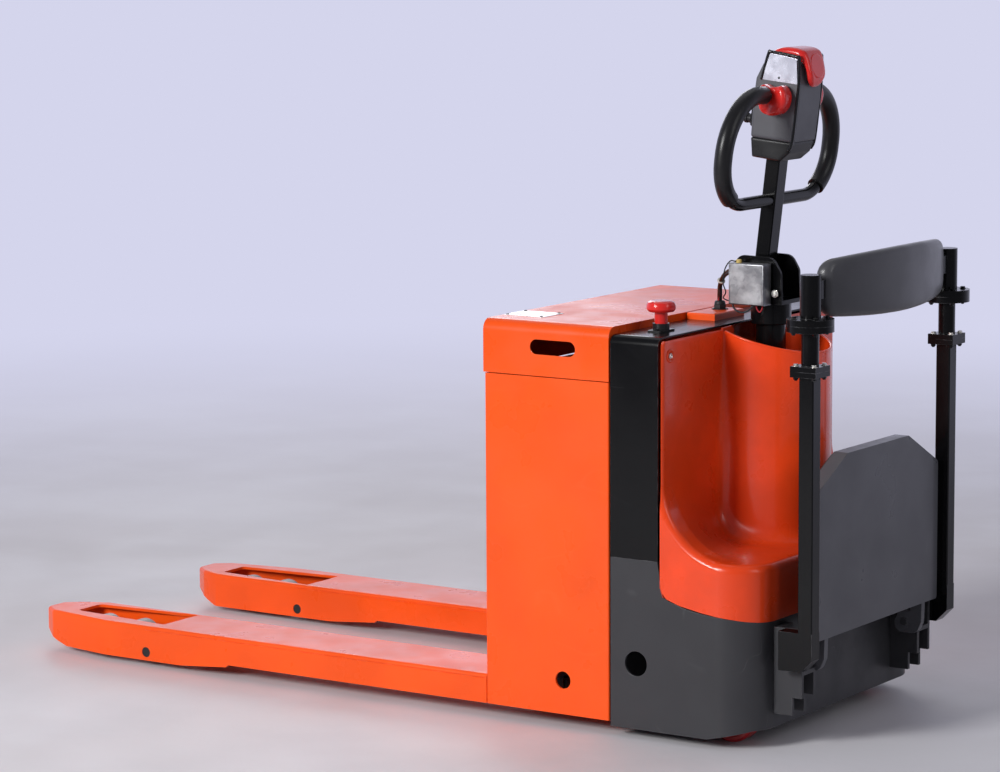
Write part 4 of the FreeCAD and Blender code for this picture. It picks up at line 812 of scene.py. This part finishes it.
def make_flange_screws():
    """Four screws through each square flange and four through each round one."""
    zinc, black = Shape(), Shape()
    for sign in SIDES.values():
        for number, (dx, dy) in enumerate(((1, 1), (1, -1), (-1, 1), (-1, -1))):
            phase = 0.3 + 0.7 * number
            hex_screw(zinc, black, FLANGE_X + SQUARE_SCREW * dx, sign * FLANGE_Y + SQUARE_SCREW * dy,
                      SQUARE_LOW, SQUARE_HIGH, phase)
            hex_screw(black, black, FLANGE_X + ROUND_SCREW * dx, sign * FLANGE_Y + ROUND_SCREW * dy,
                      ROUND_LOW, ROUND_HIGH, phase)
    screws = zinc.piece("flange_screws", "zinc", "chassis", "galvanised_steel", 0.0003)
    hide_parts("flange_bolts")
    black.piece("flange_nuts", "black_gloss_paint", "chassis", None, 0.0003)


def make_data_plate():
    """The blank plate riveted on the lid's top."""
    plate, rivets = Shape(), Shape()
    plate.slab([(0, -271), (3, -274), (88, -274), (91, -271), (91, -200), (88, -197), (3, -197), (0, -200)],
               779.3, 780.3, "Z")
    plate.piece("data_plate", "name_plate", "battery_cover", "galvanised_steel", 0.0003)
    for x in (7, 84):
        for y in (-267, -204):
            rivets.lathe([(TIP, 0), (3.2, 0), (3.0, 0.9), (1.8, 1.6), (TIP, 1.8)], (x, y, 780.2), steps=20)
    rivets.piece("data_plate_rivets", "dark_steel", "battery_cover")


GLAND_SPOT = (312, 20, 779.4)
TIE_STEP = 14
CABLE_TWIST = 0.16
CABLE_LINE = [(312, 20, 782), (312, 19, 806), (316, 14, 829), (330, 5, 848), (350, -6, 858),
              (370, -13.8, 861)]


def make_harness():
    """Twisted control cables between the gland and the tiller bracket."""
    line = smooth_line(CABLE_LINE)
    wires = (("cable_main", "black_plastic", 3.3, 0.0, 3.2), ("cable_second", "wire_brown", 2.9, 2.1, 3.6),
             ("cable_third", "wire_red", 1.6, 4.2, 4.9), ("cable_fourth", "wire_brown", 2.3, 3.4, 4.4))
    for number, (name, finish, radius, phase, reach) in enumerate(wires):
        points = []
        for step, spot in enumerate(line):
            angle = phase + step * CABLE_TWIST
            points.append(spot + Vector((0.3 * math.cos(angle), math.sin(angle), math.cos(angle))) * reach)
        cable = Shape()
        cable.tube(points, radius, 12)
        cable = cable.piece(name, finish, None, "black_plastic")
        if number == 0:
            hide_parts("harness")
        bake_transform(cable)
    tie = Shape()
    middle, ahead = line[TIE_STEP], (line[TIE_STEP + 1] - line[TIE_STEP - 1]).normalized()
    tie.lathe([(6.0, -1.6), (7.6, -1.6), (7.9, 0), (7.6, 1.6), (6.0, 1.6)], middle, ahead, 24)
    tie = tie.piece("cable_tie", "tie_white", None, "black_plastic")
    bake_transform(tie)


def make_gland():
    """The cable gland's washer, hexagon and domed nut."""
    gland = Shape()
    gland.lathe([(7.6, 0), (15.6, 0), (16, 0.5), (15.6, 1.6), (7.6, 1.6)], GLAND_SPOT, steps=40)
    gland.lathe([(7.6, 1.6), (12.4, 1.6), (13.2, 2.4), (13.2, 9.0), (12.2, 10), (7.6, 10)], GLAND_SPOT,
                steps=6)
    gland.lathe([(7.6, 10), (10.8, 10), (11, 11), (10.4, 14), (8.8, 16.6), (7.6, 17)], GLAND_SPOT, steps=32)
    gland = gland.piece("cable_gland_nut", "plug_black", "chassis", "black_plastic", 0.0003)
    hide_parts("cable_gland")


def make_switch_trim():
    """The switch box's bolt and cap, its folded lines and its thin wires."""
    zinc = Shape()
    zinc.lathe([(TIP, 0), (7.4, 0), (7.6, 0.5), (7.4, 1.2), (TIP, 1.2)], (470, -45.0, 825), (0, -1, 0), 28)
    zinc.lathe([(TIP, 0), (5.6, 0), (5.8, 0.5), (5.6, 3.8), (TIP, 4.2)], (470, -46.2, 825), (0, -1, 0), 6)
    zinc.piece("bracket_bolt_head", "zinc", "steering", "galvanised_steel", 0.0003)
    cap = Shape()
    cap.lathe([(TIP, 0), (5.2, 0), (5.6, 0.6), (5.2, 5.6), (4.0, 6.6), (TIP, 6.8)], (399, -58, 881.8),
              (0, 0, 1), 24)
    cap.piece("switch_box_cap", "cap_yellow", "steering", "black_plastic", 0.0003)
    folds = Shape()
    for x in (387.5, 457.5):
        folds.slab([(x - 0.4, 806), (x + 0.4, 806), (x + 0.4, 879), (x - 0.4, 879)], -73.35, -72.5)
    folds.piece("switch_box_folds", "galvanised_steel", "steering")
    black, red = Shape(), Shape()
    black.tube([(392, -58, 884), (380, -59, 884), (369, -60, 868), (365, -60, 842), (371, -60, 824),
                (366, -60, 812), (384, -59, 806)], 1.3, 8)
    black.tube([(390, -66, 810), (394, -70, 797), (408, -72, 789), (424, -71, 791), (436, -64, 803),
                (438, -52, 808)], 1.8, 8)
    black.piece("switch_wires", "plug_black", "steering", "black_plastic")
    red.tube([(438, -60, 806), (440, -61, 796), (446, -61, 790), (451, -60, 797), (450, -56, 807)], 1.4, 8)
    red.piece("switch_wire_red", "wire_red", "steering", "black_plastic")


# ---------------------------------------------------------------- stage

def aim(thing, target):
    thing.rotation_euler = (Vector(target) - thing.location).to_track_quat("-Z", "Y").to_euler()


def soft_light(name, location, target, size, watts):
    lamp = bpy.data.lights.new(name, "AREA")
    lamp.shape = "RECTANGLE"
    lamp.size, lamp.size_y = size
    lamp.energy = watts
    holder = bpy.data.objects.new(name, lamp)
    bpy.context.collection.objects.link(holder)
    holder.location = location
    aim(holder, target)


HAZE = (0.66, 0.665, 0.84, 1)
DUSK = (0.2, 0.2, 0.235, 1)
BACKDROP = (-0.554, 0.833, 0.0)
LIGHTS_MEET = (0.2, 0, 0.45)
FLOOR_RADIUS = 12
CAMERA_PLACE = (4.0088, -5.9918, 1.6126)
CAMERA_TURN = (33.619, 8.060, -0.331)
LENS = 129.23
SENSOR = 36


def backdrop_tone(finish, direction):
    """The studio's backdrop is bright behind the truck and dimmer on the camera's side."""
    facing = finish.node("VectorMath", {0: direction, 1: BACKDROP}, operation="DOT_PRODUCT")
    return finish.mix(finish.curve(facing.outputs["Value"], -0.45, 0.5), DUSK, HAZE)


def make_world():
    world = bpy.data.worlds.new("studio")
    world.use_nodes = True
    sky = Finish("sky")
    sky.nodes, sky.links = world.node_tree.nodes, world.node_tree.links
    direction = sky.nodes.new("ShaderNodeTexCoord").outputs["Generated"]
    height = sky.node("SeparateXYZ", {0: direction}).outputs["Z"]
    tone = backdrop_tone(sky, direction)
    tone = sky.mix(sky.curve(height, 0.15, 0.75), tone, DUSK)
    sky.links.new(tone, sky.nodes["Background"].inputs[0])
    bpy.context.scene.world = world


def make_stage():
    """A pale floor that fades into the backdrop, with four soft lights."""
    make_world()
    finish = Finish("studio_floor")
    spread = finish.node("VectorMath", {0: finish.place}, operation="LENGTH").outputs["Value"]
    direction = finish.node("VectorMath", {0: finish.place}, operation="NORMALIZE").outputs[0]
    cloud = finish.curve(finish.noise(1.4, 5), 0.35, 0.7)
    finish.colour(finish.mix(cloud, (0.63, 0.605, 0.62, 1), (0.71, 0.695, 0.72, 1)))
    finish.roughness(finish.noise(3, 3), 0.5, 0.7)
    finish.bump(finish.noise(30, 4), 0.0006)
    glow = finish.node("Emission", {"Color": backdrop_tone(finish, direction)}).outputs[0]
    far = finish.curve(spread, 1.2, 6.0)
    joined = finish.node("MixShader", {0: far, 1: finish.shader.outputs[0], 2: glow}).outputs[0]
    finish.links.new(joined, finish.nodes["Material Output"].inputs["Surface"])
    mesh = bmesh.new()
    bmesh.ops.create_circle(mesh, cap_ends=True, segments=96, radius=FLOOR_RADIUS)
    data = bpy.data.meshes.new("studio_floor")
    mesh.to_mesh(data)
    mesh.free()
    floor = bpy.data.objects.new("studio_floor", data)
    bpy.context.collection.objects.link(floor)
    data.materials.append(finish.material)
    soft_light("key", (-0.8, -4.8, 2.5), LIGHTS_MEET, (1.5, 1.6), 225)
    soft_light("side", (4.4, -0.6, 2.4), LIGHTS_MEET, (1.4, 2.4), 23)
    soft_light("top", (-0.4, 1.2, 4.2), LIGHTS_MEET, (3.0, 2.0), 14)
    soft_light("back", (-3.2, 3.6, 2.6), LIGHTS_MEET, (2.4, 2.0), 40)


def make_camera():
    yaw, pitch, roll = (math.radians(degrees) for degrees in CAMERA_TURN)
    ahead = Vector((-math.sin(yaw) * math.cos(pitch), math.cos(yaw) * math.cos(pitch),
                    -math.sin(pitch)))
    right = Vector((math.cos(yaw), math.sin(yaw), 0))
    up = right.cross(ahead)
    across = right * math.cos(roll) + up * math.sin(roll)
    above = up * math.cos(roll) - right * math.sin(roll)
    lens = bpy.data.cameras.new("camera")
    lens.lens = LENS
    lens.sensor_width = SENSOR
    camera = bpy.data.objects.new("camera", lens)
    bpy.context.collection.objects.link(camera)
    turn = Matrix((across, above, -ahead)).transposed().to_4x4()
    camera.matrix_world = Matrix.Translation(CAMERA_PLACE) @ turn
    bpy.context.scene.camera = camera
    bpy.context.scene.view_settings.view_transform = "Standard"


# ---------------------------------------------------------------- the whole truck

make_camera()
make_stage()
FINISHES = make_finishes()
# The tray's finish holds a painted reflection that makes it lighter than the base.
OWN_FINISH = {"platform_mat": "mat_studs", "platform_tray": "tray_paint_painted_lighter", "lever_pivot_pins": "plug_black"}
CREASES = sharp_by_angle()
for node in frame["nodes"]:
    dress(node, OWN_FINISH.get(node))
make_hood()
make_backrest()
make_head()
make_head_trim()
make_hood_trim()
make_flange_screws()
make_data_plate()
make_harness()
make_gland()
make_switch_trim()
